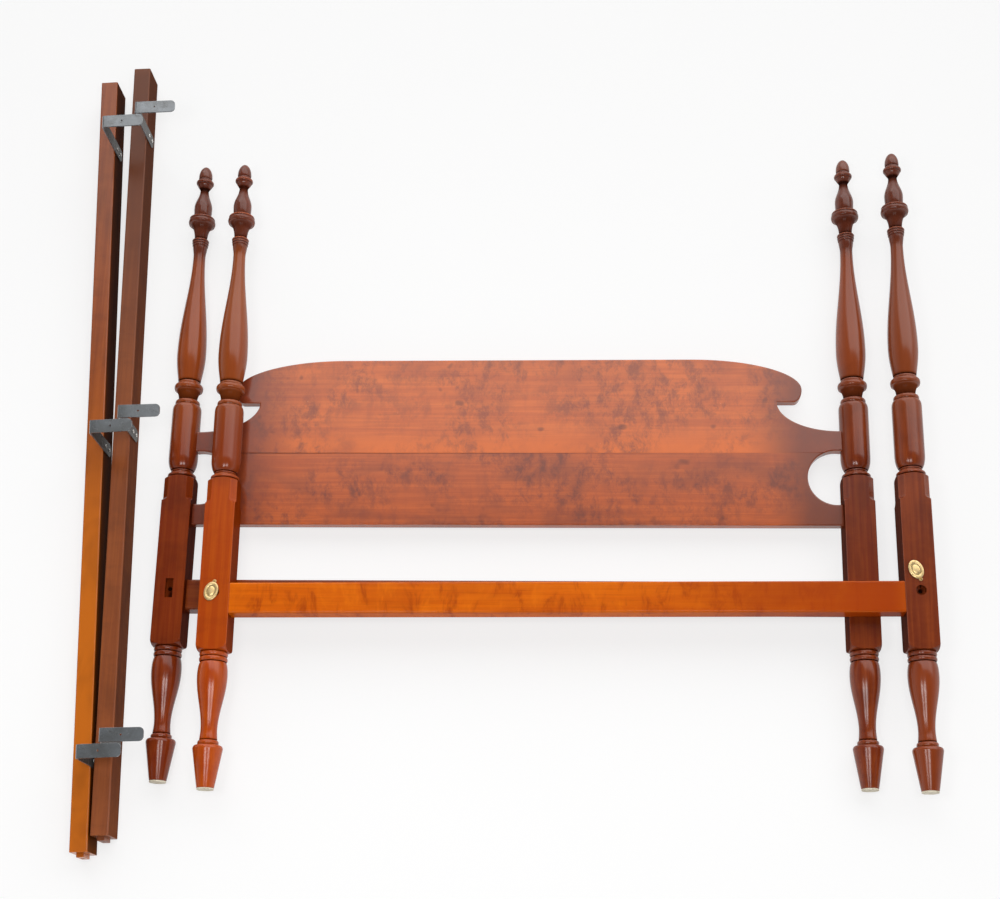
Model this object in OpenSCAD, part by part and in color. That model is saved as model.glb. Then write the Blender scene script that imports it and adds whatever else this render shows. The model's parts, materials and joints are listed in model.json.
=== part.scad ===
// A turned poster bed, taken apart and laid flat on the floor. The headboard lies on its back, the
// footboard lies across it with its outer face up, and the two side rails stand on edge beside them,
// upside down, with their foundation brackets in the air.
// X runs across the bed, Y runs from the feet of the posts to their finials, Z is up.
// Left and right are as seen from above with the finials away from the viewer.

/* [Post spacing] */
// Distance between the centres of the two posts of a board
post_spacing = 1620; // [1400:10:1900]
// Width and depth of a post's square block
block_w = 71; // [68:1:84]

/* [Foot of a post] */
// Thickness of the pale pad under a foot
pad_t = 4; // [2:0.5:8]
// Radius of the foot at the floor
toe_r = 20; // [16:0.5:24]
// Radius of the foot at its rim
foot_r = 34.5; // [31:0.5:36]
// Height of the foot from the pad to its rim
foot_h = 97; // [85:1:120]
// Height of the rounding at the foot's rim
foot_round_h = 8; // [4:1:12]
// Height of the small ring on top of the foot
ankle_ring_h = 12; // [8:1:16]
// Radius of the small ring on top of the foot
ankle_ring_r = 24.5; // [22:0.5:28]
// Radius of the leg at its ankle
ankle_r = 19; // [16:0.5:22]
// Height of the ankle above its ring
ankle_h = 24; // [18:1:34]
// Radius of the leg's vase
vase_r = 35; // [31:0.5:36]
// Height from the ankle to the fullest part of the vase
vase_h = 127; // [110:1:160]
// Height of the rounding above the fullest part of the vase
vase_round_h = 32; // [24:1:40]
// Radius of the throat above the vase
throat_r = 29; // [26:0.5:31]
// Radius of the two rings under the block
ring_r = 33; // [32:0.25:34]
// Height of one ring under the block
ring_h = 12; // [9:0.5:16]

/* [Block of a post] */
// Height of the square block, from the rings to where the chamfers start
block_h = 356; // [330:1:400]
// Height over which the block's lower corners are turned round
block_turn_h = 17; // [12:1:30]
// Height of the chamfered shoulder above the block
shoulder_h = 67; // [60:1:90]
// Height over which the shoulder's top is turned to a dome
dome_h = 36; // [26:1:46]
// Leg of the shoulder's corner chamfers
chamfer = 13.5; // [8:0.5:14]
// Radius of the curved stop at the foot of a chamfer
stop_r = 12; // [11:1:34]

/* [Sleeve and collar of a post] */
// Radius of the ring on top of the shoulder
shoulder_ring_r = 34; // [31:0.5:35]
// Height of the ring on top of the shoulder
shoulder_ring_h = 7.5; // [5:0.5:10]
// Radius of the neck inside the thin beads
neck_r = 24.5; // [22:0.5:26]
// Radius of the two thin beads
bead_r = 28; // [26:0.5:30]
// Height of one thin bead
bead_h = 5; // [3.5:0.5:8]
// Radius of the straight sleeve
sleeve_r = 35; // [33:0.5:35.5]
// Height of the straight sleeve with its two roundings
sleeve_h = 170; // [150:1:210]
// Height of the sleeve's lower rounding
sleeve_low_round = 34; // [20:1:44]
// Height of the sleeve's upper rounding
sleeve_top_round = 16; // [10:1:30]
// Radius of the ring on top of the sleeve
sleeve_ring_r = 30; // [27:0.5:32]
// Height of the ring on top of the sleeve
sleeve_ring_h = 12; // [8:0.5:16]
// Radius of the neck under the collar disc
collar_neck_r = 22; // [20:0.5:25]
// Height of the neck and the cove under the collar disc
collar_neck_h = 29; // [22:0.5:36]
// Radius of the collar disc
collar_r = 35; // [32:0.5:35.5]
// Height of the collar disc's rim
collar_h = 13; // [9:0.5:18]
// Height of the ring on the collar
collar_ring_h = 8; // [5:0.5:12]

/* [Column of a post] */
// Radius of the column at its base
column_base_r = 26.5; // [24:0.5:29]
// Radius of the column's belly
belly_r = 35.3; // [33:0.1:35.5]
// Height of the belly above the column's base
belly_h = 77; // [60:1:90]
// Radius of the column's waist
waist_r = 15; // [13:0.5:17]
// Height of the column's waist above its belly
waist_h = 269; // [240:1:300]
// Height of the flare between the waist and the capital
flare_h = 27; // [20:1:36]

/* [Capital and finial] */
// Radius of the thin beads under the capital
capital_bead_r = 21; // [19:0.5:23]
// Height of the thin beads under the capital
capital_bead_h = 18; // [12:1:24]
// Radius of the capital's disc
capital_r = 33.5; // [30:0.5:35]
// Radius of the neck under the disc
capital_neck_r = 15.5; // [14:0.5:17]
// Height of the neck and the cove under the disc
bowl_h = 43; // [36:1:50]
// Height of the disc's rim
rim_h = 12; // [9:1:15]
// Height of the stepped top of the disc
crown_h = 10; // [8:1:13]
// Radius of the finial's urn
urn_r = 22.5; // [20:0.5:23.5]
// Height of the finial's urn
urn_h = 75; // [65:1:85]
// Radius of the finial's neck
finial_neck_r = 10.5; // [9:0.5:12]
// Radius of the finial's small disc
finial_disc_r = 22; // [19:0.5:24]
// Height of the finial's small disc
finial_disc_h = 9; // [6:0.5:12]
// Height of the finial's small disc and the cup under it
finial_cup_h = 27; // [22:1:34]
// Radius of the finial's cap
cap_r = 17; // [14:0.5:18.5]
// Height of the finial's cap
cap_h = 42; // [34:1:50]
// Radius of the dowel that holds the finial
dowel_r = 8; // [6:0.5:9]
// Length of the dowel that holds the finial
dowel_len = 34; // [24:1:44]

/* [Headboard] */
// Thickness of the panel
panel_t = 23; // [18:1:28]
// Height of the panel's lower edge above the floor
panel_low = 622; // [580:1:650]
// Height of the tongue below the panel's round cut
tongue_h = 51.5; // [40:0.5:60]
// Radius of the round cut beside each post
cut_r = 68; // [55:1:75]
// Distance of the round cut's centre from the post's block
cut_in = 11.5; // [4:0.5:20]
// Height of the arm above the round cut
arm_h = 50; // [40:0.5:60]
// Length of the cove between the post and the ear
cove_len = 147.5; // [125:0.5:165]
// Height of the cove between the arm and the ear
cove_h = 75; // [60:1:90]
// Distance of the ear's tip from the post's block
ear_in = 87; // [70:0.5:100]
// Length of the ear's rounded nose
nose_len = 20; // [12:1:28]
// Height of the ear's rounded nose
nose_h = 32; // [20:1:40]
// Length over which the top edge falls to the ear
fall_len = 266; // [200:1:320]
// Height by which the top edge falls to the ear
fall_h = 80; // [60:1:90]
// Height of the glued seam above the panel's lower edge
seam_up = 182; // [150:1:186]
// Height of the headboard's lower rail above the floor
head_rail_low = 411; // [395:1:430]

/* [Footboard] */
// Height of the footboard's rail above the floor
foot_rail_low = 406; // [395:1:430]
// Radius of the rail's eased long edges
rail_ease = 4; // [1:0.5:8]
// Height of the lower rails of both boards
board_rail_h = 74; // [60:1:90]
// Thickness of the lower rails of both boards
board_rail_t = 45; // [38:1:50]
// Depth by which those rails lie behind the outer face of the posts
rail_recess = 2; // [0.5:0.5:5]

/* [Wood joints] */
// Depth by which panels and rails enter the posts
tenon_in = 22; // [16:1:24]
// Height of the tenons on the boards' lower rails
board_tenon_h = 56; // [40:1:58]
// Thickness of the tenons on the boards' lower rails
board_tenon_t = 18; // [12:1:20]
// Clearance all round a piece in its mortise
joint_gap = 0.3; // [0.2:0.05:0.5]

/* [Bed bolts] */
// Height of the bed bolts above the floor
bolt_up = 457; // [440:1:470]
// Radius of the bed bolt bores
bolt_r = 5; // [4:0.25:6]
// Radius of the counterbore for a bolt's head
counterbore_r = 12; // [9:0.5:14]
// Depth of the counterbore for a bolt's head
counterbore_in = 12; // [8:0.5:14]
// Width of the side rail's mortise in a post
mortise_w = 18; // [14:0.5:24]
// Height of the side rail's mortise in a post
mortise_h = 47; // [36:1:56]
// Depth of the side rail's mortise in a post
mortise_in = 12; // [8:0.5:14]

/* [Bolt covers] */
// Width of an oval bolt cover
cover_w = 33; // [30:0.5:40]
// Height of an oval bolt cover
cover_h = 46; // [40:0.5:54]
// Thickness of a cover's plate
cover_t = 2; // [1.5:0.25:3]
// Height of the cover's raised rim and boss above its plate
cover_relief = 1.5; // [0.75:0.25:2.5]
// Width of the cover's raised rim
cover_rim = 3; // [2:0.25:4]
// Width of the cover's raised boss
boss_w = 16; // [10:0.5:20]
// Height of the cover's raised boss
boss_h = 26; // [18:0.5:32]
// Distance of the pivot past the upper end of the oval
pivot_past_end = 2; // [0:0.5:3]
// Radius of the lug that the cover hangs from
lug_r = 4.25; // [4:0.25:6]
// Radius of the cover's pivot screw
pivot_r = 1.6; // [1.2:0.1:2]
// Radius of the pivot screw's head
pivot_head_r = 3; // [2.5:0.25:3.5]
// Height of the pivot screw's head
pivot_head_h = 2.2; // [1.4:0.1:3]
// Depth of the pivot screw in the post
pivot_in = 14; // [8:1:20]
// Radial clearance of a cover on its pivot screw
pivot_gap = 0.08; // [0.05:0.01:0.1]
// Turn of the left cover away from hanging straight down
cover_left_turn = -16; // [-160:1:0]
// Turn of the right cover away from hanging straight down
cover_right_turn = -158; // [-160:1:0]

/* [Side rails] */
// Length of a side rail between its shoulders
side_len = 1990; // [1900:1:2100]
// Thickness of a side rail
side_t = 42; // [38:1:46]
// Height of a side rail
side_h = 76; // [70:1:90]
// Radius of a side rail's eased edges
side_ease = 3; // [1:0.5:6]
// Length of the stub tenons on a side rail
stub_len = 10; // [6:0.5:11]
// Distance of a nut pocket from the rail's shoulder
nut_in = 75; // [60:1:90]
// Radius of a nut pocket
pocket_r = 12; // [11:0.5:14]
// Width of a square nut
nut_w = 16; // [14:0.5:17]
// Thickness of a square nut
nut_t = 8; // [6:0.5:9]

/* [Foundation brackets] */
// Width of the bracket's steel strip
strip_w = 32; // [26:1:38]
// Thickness of the bracket's steel strip
strip_t = 3.2; // [2:0.1:4]
// Radius at the inside of the bracket's bend
bend_r = 2; // [1:0.25:4]
// Length of the bracket's leg that lies on the rail
leg_on_rail = 54; // [46:1:60]
// Length of the bracket's leg past the rail's edge
leg_past_rail = 114; // [90:1:130]
// Length of the bracket's foot from the back of the leg
foot_len = 102; // [85:1:115]
// Radius of the rounded corners of the strip's ends
strip_corner = 11; // [6:0.5:12.5]
// Distance of the slat screw hole from the back of the leg
slat_hole_in = 50; // [30:1:70]
// Radius of the holes in the strip
strip_hole_r = 2.5; // [2.25:0.05:3]
// Distance of the lower screw hole from the end of the leg
screw_low = 14; // [13:0.5:18]
// Distance between the two screw holes in the leg
screw_apart = 26; // [18:1:28]
// Distance from the rail's foot end to its first bracket
bracket_foot_in = 208; // [180:1:240]
// Distance from the rail's head end to its last bracket
bracket_head_in = 190; // [160:1:220]
// Distance of the middle bracket from halfway between the others, toward the foot end
bracket_middle_off = 22; // [0:1:60]

/* [Wood screws] */
// Radius of a bracket screw's shank
screw_r = 2.1; // [1.6:0.05:2.2]
// Length of a bracket screw's shank
screw_len = 26; // [18:1:32]
// Radius of a bracket screw's head
screw_head_r = 4.4; // [3.6:0.1:5]
// Height of a bracket screw's head
screw_head_h = 2.4; // [1.6:0.1:3]

/* [How the pieces lie] */
// Place of the footboard's centre line beside the headboard's
footboard_x = 123.3; // [95:0.1:170]
// Distance of the footboard's feet below the headboard's
footboard_y = -17; // [-40:1:0]
// Turn of the footboard on the headboard
footboard_turn = 0.4; // [0:0.05:1]
// Small gap between pieces that rest on each other
seat_gap = 0.3; // [0.2:0.05:0.5]
// Distance of the right side rail's foot end from the headboard's left post
rail_beside = 77.7; // [65:0.1:110]
// Turn of the right side rail
right_rail_turn = 1.91; // [0.5:0.01:2.3]
// Place of the left side rail's foot end along the floor
left_rail_y = -165; // [-220:1:-120]
// Turn of the left side rail
left_rail_turn = 3.02; // [2.4:0.01:3.4]
// Clearance between the left rail's screw heads and the right rail
rails_gap = 1; // [0.5:0.25:6]
// Gap along the rails between the brackets of one rail and those of the other
stagger_gap = 6; // [5:0.5:20]

/* [Hidden] */
$fn = 64;

// Run of a cut past the face that it opens in, and of a piece into the one that it is joined to
over = 1;
// Depth of the small steps between neighbouring mouldings
quirk = 1.5;
// Height of the straight edge under a screw's rounded head
head_edge = 0.6;
// Diameter of a bolt's thread less that of its clearance bore
thread_less = 0.8;
// Distance that a bore runs past the pocket of its nut
bore_run = 5;

// Heights of a post's stations above the floor
rim_y = pad_t + foot_h;
ankle_y = rim_y + ankle_ring_h + ankle_h;
vase_y = ankle_y + vase_h;
throat_y = vase_y + vase_round_h;
block_low = throat_y + 2 * ring_h;
block_top = block_low + block_h;
shoulder_y = block_top + shoulder_h;
beads_y = shoulder_y + shoulder_ring_h;
sleeve_low = beads_y + 2 * bead_h;
sleeve_top = sleeve_low + sleeve_h;
collar_neck_y = sleeve_top + sleeve_ring_h;
collar_y = collar_neck_y + collar_neck_h;
column_y = collar_y + collar_h + collar_ring_h;
belly_y = column_y + belly_h;
waist_y = belly_y + waist_h;
capital_y = waist_y + flare_h;
thin_bead_h = capital_bead_h / 3;
bowl_y = capital_y + capital_bead_h;
disc_y = bowl_y + bowl_h;
crown_y = disc_y + rim_h;
finial_y = crown_y + crown_h;
urn_edge_y = finial_y + urn_h / 3;
neck_y = finial_y + urn_h;
cap_y = neck_y + finial_cup_h;
small_disc_y = cap_y - finial_disc_h;
cap_ring_h = cap_h / 7;
post_h = cap_y + cap_h;

// Levels of the panel's outline
tongue_top = panel_low + tongue_h;
cut_y = tongue_top + cut_r;
arm_low = cut_y + cut_r;
arm_top = arm_low + arm_h;
hook_y = arm_top + cove_h;
nose_y = hook_y + nose_h;
panel_top = nose_y + fall_h;
half_w = post_spacing / 2 - block_w / 2;
panel_z = block_w / 2 - panel_t / 2;

// Heights of the pieces that lie on others
head_front = max(rail_recess + board_rail_t, panel_z + panel_t);
footboard_z = head_front + seat_gap;
cover_up = cover_h / 2 + pivot_past_end;
pivot_up = bolt_up + cover_up;

// Side rails, whose bracket feet pass beside each other
right_rail_x = -(post_spacing + block_w) / 2 - rail_beside;
left_rail_x = right_rail_x - side_t - strip_t - screw_head_h - rails_gap
    + bracket_foot_in * (sin(left_rail_turn) - sin(right_rail_turn));
right_rail_y = left_rail_y + strip_w + stagger_gap;
bracket_places = [
    bracket_foot_in,
    (bracket_foot_in + side_len - bracket_head_in) / 2 - bracket_middle_off,
    side_len - bracket_head_in
];
stub_w = mortise_w - 2 * joint_gap;
stub_h = mortise_h - 2 * joint_gap;
screw_heights = [side_h - leg_on_rail + screw_low, side_h - leg_on_rail + screw_low + screw_apart];

// Outer limits of everything that lies on the floor, for the origin at its middle
x_low = left_rail_x - side_t / 2 * cos(left_rail_turn) - side_len * sin(left_rail_turn);
x_high = footboard_x + max([
    for (p = [[foot_r, rim_y - foot_round_h], [vase_r, vase_y], [block_w / 2, block_low]])
        (post_spacing / 2 + p[0]) * cos(footboard_turn) - p[1] * sin(footboard_turn)
]);
y_low = min(
    left_rail_y - stub_w / 2 * sin(left_rail_turn) - stub_len * cos(left_rail_turn),
    footboard_y - post_spacing / 2 * sin(footboard_turn)
);
y_high = right_rail_y + stub_w / 2 * sin(right_rail_turn)
    + (side_len + stub_len) * cos(right_rail_turn);
middle = [(x_low + x_high) / 2, (y_low + y_high) / 2, 0];

// Curves of a turned outline, as points of radius and height
function s_run(y0, r0, y1, r1, n) =
    [for (i = [0:n]) [r0 + (r1 - r0) * (1 - cos(180 * i / n)) / 2, y0 + (y1 - y0) * i / n]];
function round_out(y0, r0, y1, r1, n) =
    [for (i = [0:n]) [r0 + (r1 - r0) * sin(90 * i / n), y0 + (y1 - y0) * (1 - cos(90 * i / n))]];
function round_in(y0, r0, y1, r1, n) =
    [for (i = [0:n]) [r1 + (r0 - r1) * cos(90 * i / n), y0 + (y1 - y0) * sin(90 * i / n)]];
function cove(y0, r0, y1, r1, n) =
    [for (i = [0:n]) [r1 - (r1 - r0) * cos(90 * i / n), y0 + (y1 - y0) * sin(90 * i / n)]];
function swell(y0, r0, y1, r1, n) =
    [for (i = [0:n]) [r0 + (r1 - r0) * sin(90 * i / n), y0 + (y1 - y0) * i / n]];
function bead(y, h, core, r) =
    [for (i = [0:6]) [core + (r - core) * sin(30 * i), y + h * (1 - cos(30 * i)) / 2]];
function distinct(p) =
    [for (i = [0:len(p) - 1]) if (i == 0 || norm(p[i] - p[max(i - 1, 0)]) > 0.05) p[i]];

// Foot, ankle, vase and the rings under the block
function leg_outline() = concat(
    [[toe_r, pad_t]],
    round_in(rim_y - foot_round_h, foot_r, rim_y, foot_r - 3 * quirk, 5),
    bead(rim_y, ankle_ring_h, ankle_r + quirk, ankle_ring_r),
    s_run(rim_y + ankle_ring_h + quirk, ankle_r + quirk, ankle_y, ankle_r, 4),
    s_run(ankle_y, ankle_r, vase_y, vase_r, 16),
    round_in(vase_y, vase_r, throat_y, throat_r, 8),
    bead(throat_y, ring_h, throat_r, ring_r),
    bead(throat_y + ring_h, ring_h, throat_r, ring_r)
);

// Neck, beads, sleeve and collar above the block
function sleeve_outline() = concat(
    bead(shoulder_y, shoulder_ring_h, shoulder_ring_r - 2 * quirk, shoulder_ring_r),
    bead(beads_y, bead_h, neck_r, bead_r),
    bead(beads_y + bead_h, bead_h, neck_r, bead_r - quirk),
    round_out(sleeve_low, neck_r, sleeve_low + sleeve_low_round, sleeve_r, 10),
    round_in(sleeve_top - sleeve_top_round, sleeve_r, sleeve_top, sleeve_ring_r, 8),
    bead(sleeve_top, sleeve_ring_h, sleeve_ring_r - 2 * quirk, sleeve_ring_r),
    cove(collar_neck_y, collar_neck_r, collar_y, collar_r - quirk, 10),
    bead(collar_y, collar_h, collar_r - 2 * quirk, collar_r),
    bead(collar_y + collar_h, collar_ring_h, column_base_r, column_base_r + quirk)
);

// Column with its low belly and its slim waist
function column_outline() = concat(
    swell(column_y, column_base_r, belly_y, belly_r, 12),
    s_run(belly_y, belly_r, waist_y, waist_r, 24),
    s_run(waist_y, waist_r, capital_y, waist_r + 2 * quirk, 5)
);

// Thin beads, cove, rim and stepped top of the capital
function capital_outline() = concat(
    bead(capital_y, thin_bead_h, waist_r + 2 * quirk, capital_bead_r - quirk),
    bead(capital_y + thin_bead_h, thin_bead_h, waist_r + 2 * quirk, capital_bead_r - quirk / 3),
    bead(capital_y + 2 * thin_bead_h, thin_bead_h, waist_r + 2 * quirk, capital_bead_r),
    cove(bowl_y, capital_neck_r, disc_y, capital_r - quirk, 10),
    bead(disc_y, rim_h, capital_r - 2 * quirk, capital_r),
    bead(crown_y, rim_h / 2, capital_r - 3 * quirk, capital_r - quirk),
    s_run(crown_y + rim_h / 2, capital_r - 3 * quirk, finial_y, urn_r + quirk, 8)
);

// Urn, neck, cup, small disc and cap of the finial
function finial_outline() = concat(
    round_out(finial_y, urn_r - 2 * quirk, urn_edge_y, urn_r, 8),
    s_run(urn_edge_y, urn_r, neck_y, finial_neck_r, 16),
    s_run(neck_y, finial_neck_r, small_disc_y, finial_disc_r - 2 * quirk, 8),
    bead(small_disc_y, finial_disc_h, finial_disc_r - 2 * quirk, finial_disc_r),
    bead(cap_y, cap_ring_h, cap_r - quirk, cap_r - quirk / 3),
    round_out(cap_y + cap_ring_h, cap_r - quirk, cap_y + 2 * cap_ring_h, cap_r, 3),
    round_in(cap_y + 2 * cap_ring_h, cap_r, post_h, 0, 9)
);

// A turned solid from an outline that starts and ends off the axis or on it
module turned(points) {
    clean = distinct(points);
    last = clean[len(clean) - 1];
    foot = [[0, clean[0][1]]];
    top = last[0] > 0.01 ? [[0, last[1]]] : [];
    rotate_extrude() polygon(concat(foot, clean, top));
}

// Stands a piece made along Z into the line of a post that lies along Y
module along_post() {
    translate([0, 0, block_w / 2]) rotate([-90, 0, 0]) children();
}

// Places of the two boards and the side rails
module at_headboard() {
    translate(-middle) children();
}

module at_footboard() {
    translate([footboard_x, footboard_y, footboard_z] - middle) rotate([0, 0, footboard_turn]) children();
}

module at_post(side) {
    translate([side * post_spacing / 2, 0, 0]) children();
}

module at_left_rail() {
    translate([left_rail_x, left_rail_y, 0] - middle) rotate([0, 0, left_rail_turn]) children();
}

module at_right_rail() {
    translate([right_rail_x, right_rail_y, 0] - middle) rotate([0, 0, right_rail_turn]) children();
}

// Square block with turned ends and chamfered shoulder, made along Z
module block_solid() {
    corner_r = block_w / sqrt(2);
    flat_r = corner_r - chamfer / sqrt(2);
    run = sqrt(stop_r * stop_r - pow(stop_r - (corner_r - flat_r), 2));
    difference() {
        intersection() {
            translate([-block_w / 2, -block_w / 2, block_low])
                cube([block_w, block_w, shoulder_y - block_low]);
            turned(concat(
                round_out(block_low, throat_r, block_low + block_turn_h, corner_r + over, 10),
                round_in(shoulder_y - dome_h, corner_r + over, shoulder_y, neck_r + quirk, 10)
            ));
        }
        for (k = [0:3]) rotate([0, 0, 45 + 90 * k]) {
            translate([flat_r, -block_w / 2, block_top + run])
                cube([block_w, block_w, shoulder_h]);
            translate([flat_r + stop_r, block_w / 2, block_top + run])
                rotate([90, 0, 0]) cylinder(r = stop_r, h = block_w);
        }
    }
}

// Whole post without its finial, made along Z
module post_solid() {
    union() {
        turned(concat(
            leg_outline(),
            [[throat_r, block_low + over], [neck_r, block_low + block_turn_h], [neck_r, shoulder_y - over]],
            sleeve_outline(),
            column_outline(),
            capital_outline()
        ));
        block_solid();
    }
}

// Bore, counterbore and mortise for the side rail; the counterbore opens in the outer face
module bolt_cuts(outer_up) {
    flip = outer_up ? 0 : 1;
    translate([0, bolt_up, block_w / 2]) rotate([0, 180 * flip, 0]) {
        translate([0, 0, -block_w / 2 - over]) cylinder(r = bolt_r, h = block_w + 2 * over);
        translate([0, 0, block_w / 2 - counterbore_in])
            cylinder(r = counterbore_r, h = counterbore_in + over);
        translate([-mortise_w / 2, -mortise_h / 2, -block_w / 2 - over])
            cube([mortise_w, mortise_h, mortise_in + over]);
    }
}

// Mortise in a post's inner side; inner is 1 where the board lies on the post's +X side, else -1
module side_mortise(inner, y, h, z, t) {
    x = inner > 0 ? block_w / 2 - tenon_in - joint_gap : -block_w / 2 - over;
    translate([x, y - joint_gap, z - joint_gap])
        cube([tenon_in + joint_gap + over, h + 2 * joint_gap, t + 2 * joint_gap]);
}

module finial_bore() {
    along_post() translate([0, 0, finial_y - dowel_len - joint_gap])
        cylinder(r = dowel_r + joint_gap, h = dowel_len + joint_gap + over);
}

// Post of the headboard, front face up
module head_post(inner) {
    color("#6e2c16") difference() {
        along_post() post_solid();
        bolt_cuts(false);
        finial_bore();
        side_mortise(inner, panel_low, tongue_h, panel_z, panel_t);
        side_mortise(inner, arm_low, arm_h, panel_z, panel_t);
        side_mortise(
            inner,
            head_rail_low + (board_rail_h - board_tenon_h) / 2,
            board_tenon_h,
            rail_recess + (board_rail_t - board_tenon_t) / 2,
            board_tenon_t
        );
    }
}

// Post of the footboard, outer face up
module foot_post(inner) {
    color("#8c3d1a") difference() {
        along_post() post_solid();
        bolt_cuts(true);
        finial_bore();
        translate([0, pivot_up, block_w - pivot_in - joint_gap])
            cylinder(r = pivot_r + pivot_gap, h = pivot_in + joint_gap + over);
        side_mortise(
            inner,
            foot_rail_low + (board_rail_h - board_tenon_h) / 2,
            board_tenon_h,
            block_w - rail_recess - (board_rail_t + board_tenon_t) / 2,
            board_tenon_t
        );
    }
}

// Turned finial with its dowel
module finial() {
    color("#7a3218") along_post() union() {
        turned(finial_outline());
        translate([0, 0, finial_y - dowel_len]) cylinder(r = dowel_r, h = dowel_len + 3 * over);
    }
}

// Pale pad under a foot
module toe_pad() {
    color("#d9cdb6") along_post() cylinder(r = toe_r - quirk / 3, h = pad_t);
}

// Outline of the panel's right half, from its lower middle to its upper middle
function ear_outline() = concat(
    [[0, panel_low], [half_w + tenon_in, panel_low], [half_w + tenon_in, arm_top], [half_w, arm_top]],
    [for (i = [1:11]) [half_w - cove_len * sin(90 * i / 12), hook_y - cove_h * cos(90 * i / 12)]],
    [[half_w - cove_len, hook_y]],
    [for (i = [0:5]) [
        half_w - ear_in - nose_len + nose_len * sin(90 * i / 6),
        nose_y - nose_h * cos(90 * i / 6)
    ]],
    [for (i = [0:16]) [
        half_w - ear_in - fall_len + fall_len * cos(90 * i / 16),
        nose_y + fall_h * sin(90 * i / 16)
    ]]
);

// Scroll-cut panel with the cuts beside the posts, before it is divided at its seam
module panel_solid() {
    right = ear_outline();
    left = [for (i = [len(right) - 1:-1:1]) [-right[i][0], right[i][1]]];
    translate([0, 0, panel_z]) difference() {
        linear_extrude(panel_t) polygon(concat(right, left));
        for (side = [-1, 1]) {
            translate([side * (half_w - cut_in), cut_y, -over]) cylinder(r = cut_r, h = panel_t + 2 * over);
            translate([side * (half_w + (tenon_in + over) / 2), cut_y, panel_t / 2])
                cube([tenon_in + over, arm_low - tongue_top, panel_t + 2 * over], center = true);
        }
    }
}

module head_panel_board(upper) {
    seam_y = panel_low + seam_up;
    low = upper ? seam_y : panel_low - over;
    high = upper ? panel_top + over : seam_y;
    color(upper ? "#7d3015" : "#843818") intersection() {
        panel_solid();
        translate([-post_spacing / 2, low, 0]) cube([post_spacing, high - low, block_w]);
    }
}

// Section with eased edges, centred
module eased_section(w, h, r) {
    square([w - 2 * r, h], center = true);
    square([w, h - 2 * r], center = true);
    for (x = [-1, 1], y = [-1, 1]) translate([x * (w / 2 - r), y * (h / 2 - r)]) circle(r);
}

// Lower rail of a board with its two tenons
module board_rail(y, z) {
    translate([0, y + board_rail_h / 2, z + board_rail_t / 2]) union() {
        rotate([0, 90, 0])
            linear_extrude(2 * half_w, center = true)
                eased_section(board_rail_t, board_rail_h, rail_ease);
        cube([2 * (half_w + tenon_in), board_tenon_h, board_tenon_t], center = true);
    }
}

// Oval outline and ring of a bolt cover
function oval(w, h, n) = [for (i = [0:n - 1]) [w / 2 * cos(360 * i / n), h / 2 * sin(360 * i / n)]];

module oval_ring(w, h, wall, t) {
    difference() {
        linear_extrude(t) polygon(oval(w, h, 48));
        translate([0, 0, -over]) linear_extrude(t + 2 * over) polygon(oval(w - 2 * wall, h - 2 * wall, 48));
    }
}

// Oval bolt cover hanging from its lug, with the pivot at the origin
module bolt_cover() {
    color("#c79a3c") difference() {
        union() {
            translate([0, -cover_up, 0]) {
                linear_extrude(cover_t) polygon(oval(cover_w, cover_h, 48));
                translate([0, 0, cover_t / 2])
                    oval_ring(cover_w - over, cover_h - over, cover_rim, cover_t / 2 + cover_relief);
                linear_extrude(cover_t + cover_relief) polygon(oval(boss_w, boss_h, 36));
            }
            cylinder(r = lug_r, h = cover_t);
        }
        translate([0, 0, -over]) cylinder(r = pivot_r + pivot_gap, h = cover_t + cover_relief + 2 * over);
        translate([0, 0, cover_t]) cylinder(r = pivot_head_r + joint_gap, h = cover_relief + over);
    }
}

module at_pivot(side) {
    translate([side * post_spacing / 2, pivot_up, block_w + seat_gap]) children();
}

// Round head of a screw, from its seat up
module screw_head(r, h) {
    rotate_extrude() polygon(concat([[0, 0], [r, 0]], round_in(head_edge, r, h, 0, 6)));
}

// Round-headed screw that a cover turns on
module cover_screw() {
    color("#b98a34") union() {
        translate([0, 0, -pivot_in - seat_gap])
            cylinder(r = pivot_r, h = pivot_in + seat_gap + cover_t + over);
        translate([0, 0, cover_t + pivot_gap]) screw_head(pivot_head_r, pivot_head_h);
    }
}

// Side rail, upside down, from its foot shoulder at the origin along Y
module side_rail() {
    color("#7a3a1e") difference() {
        union() {
            translate([0, 0, side_h / 2]) rotate([-90, 0, 0])
                linear_extrude(side_len) eased_section(side_t, side_h, side_ease);
            translate([-stub_w / 2, -stub_len, (side_h - stub_h) / 2])
                cube([stub_w, side_len + 2 * stub_len, stub_h]);
        }
        for (end = [0, 1]) translate([0, end * side_len, side_h / 2]) rotate([0, 0, 180 * end]) {
            translate([0, -stub_len - over, 0]) rotate([-90, 0, 0])
                cylinder(r = bolt_r, h = stub_len + over + nut_in + pocket_r + bore_run);
        }
        for (y = [nut_in, side_len - nut_in]) translate([-side_t / 2 - over, y, side_h / 2])
            rotate([0, 90, 0]) cylinder(r = pocket_r, h = side_t / 2 + nut_w / 2 + over + seat_gap);
        for (y = bracket_places, z = screw_heights) translate([side_t / 2 + over, y, z])
            rotate([0, -90, 0]) cylinder(r = screw_r + joint_gap / 2, h = screw_len + over);
    }
}

// Two square nuts in their pockets
module rail_nuts() {
    sit = sqrt(pocket_r * pocket_r - nut_w * nut_w / 4) - seat_gap;
    color("#8a8a88") for (end = [0, 1])
        translate([0, end * side_len, side_h / 2]) rotate([0, 0, 180 * end])
            translate([0, nut_in - sit, 0]) difference() {
                translate([-nut_w / 2, 0, -nut_w / 2]) cube([nut_w, nut_t, nut_w]);
                translate([0, -over, 0]) rotate([-90, 0, 0])
                    cylinder(r = bolt_r - thread_less / 2, h = nut_t + 2 * over);
            }
}

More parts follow.
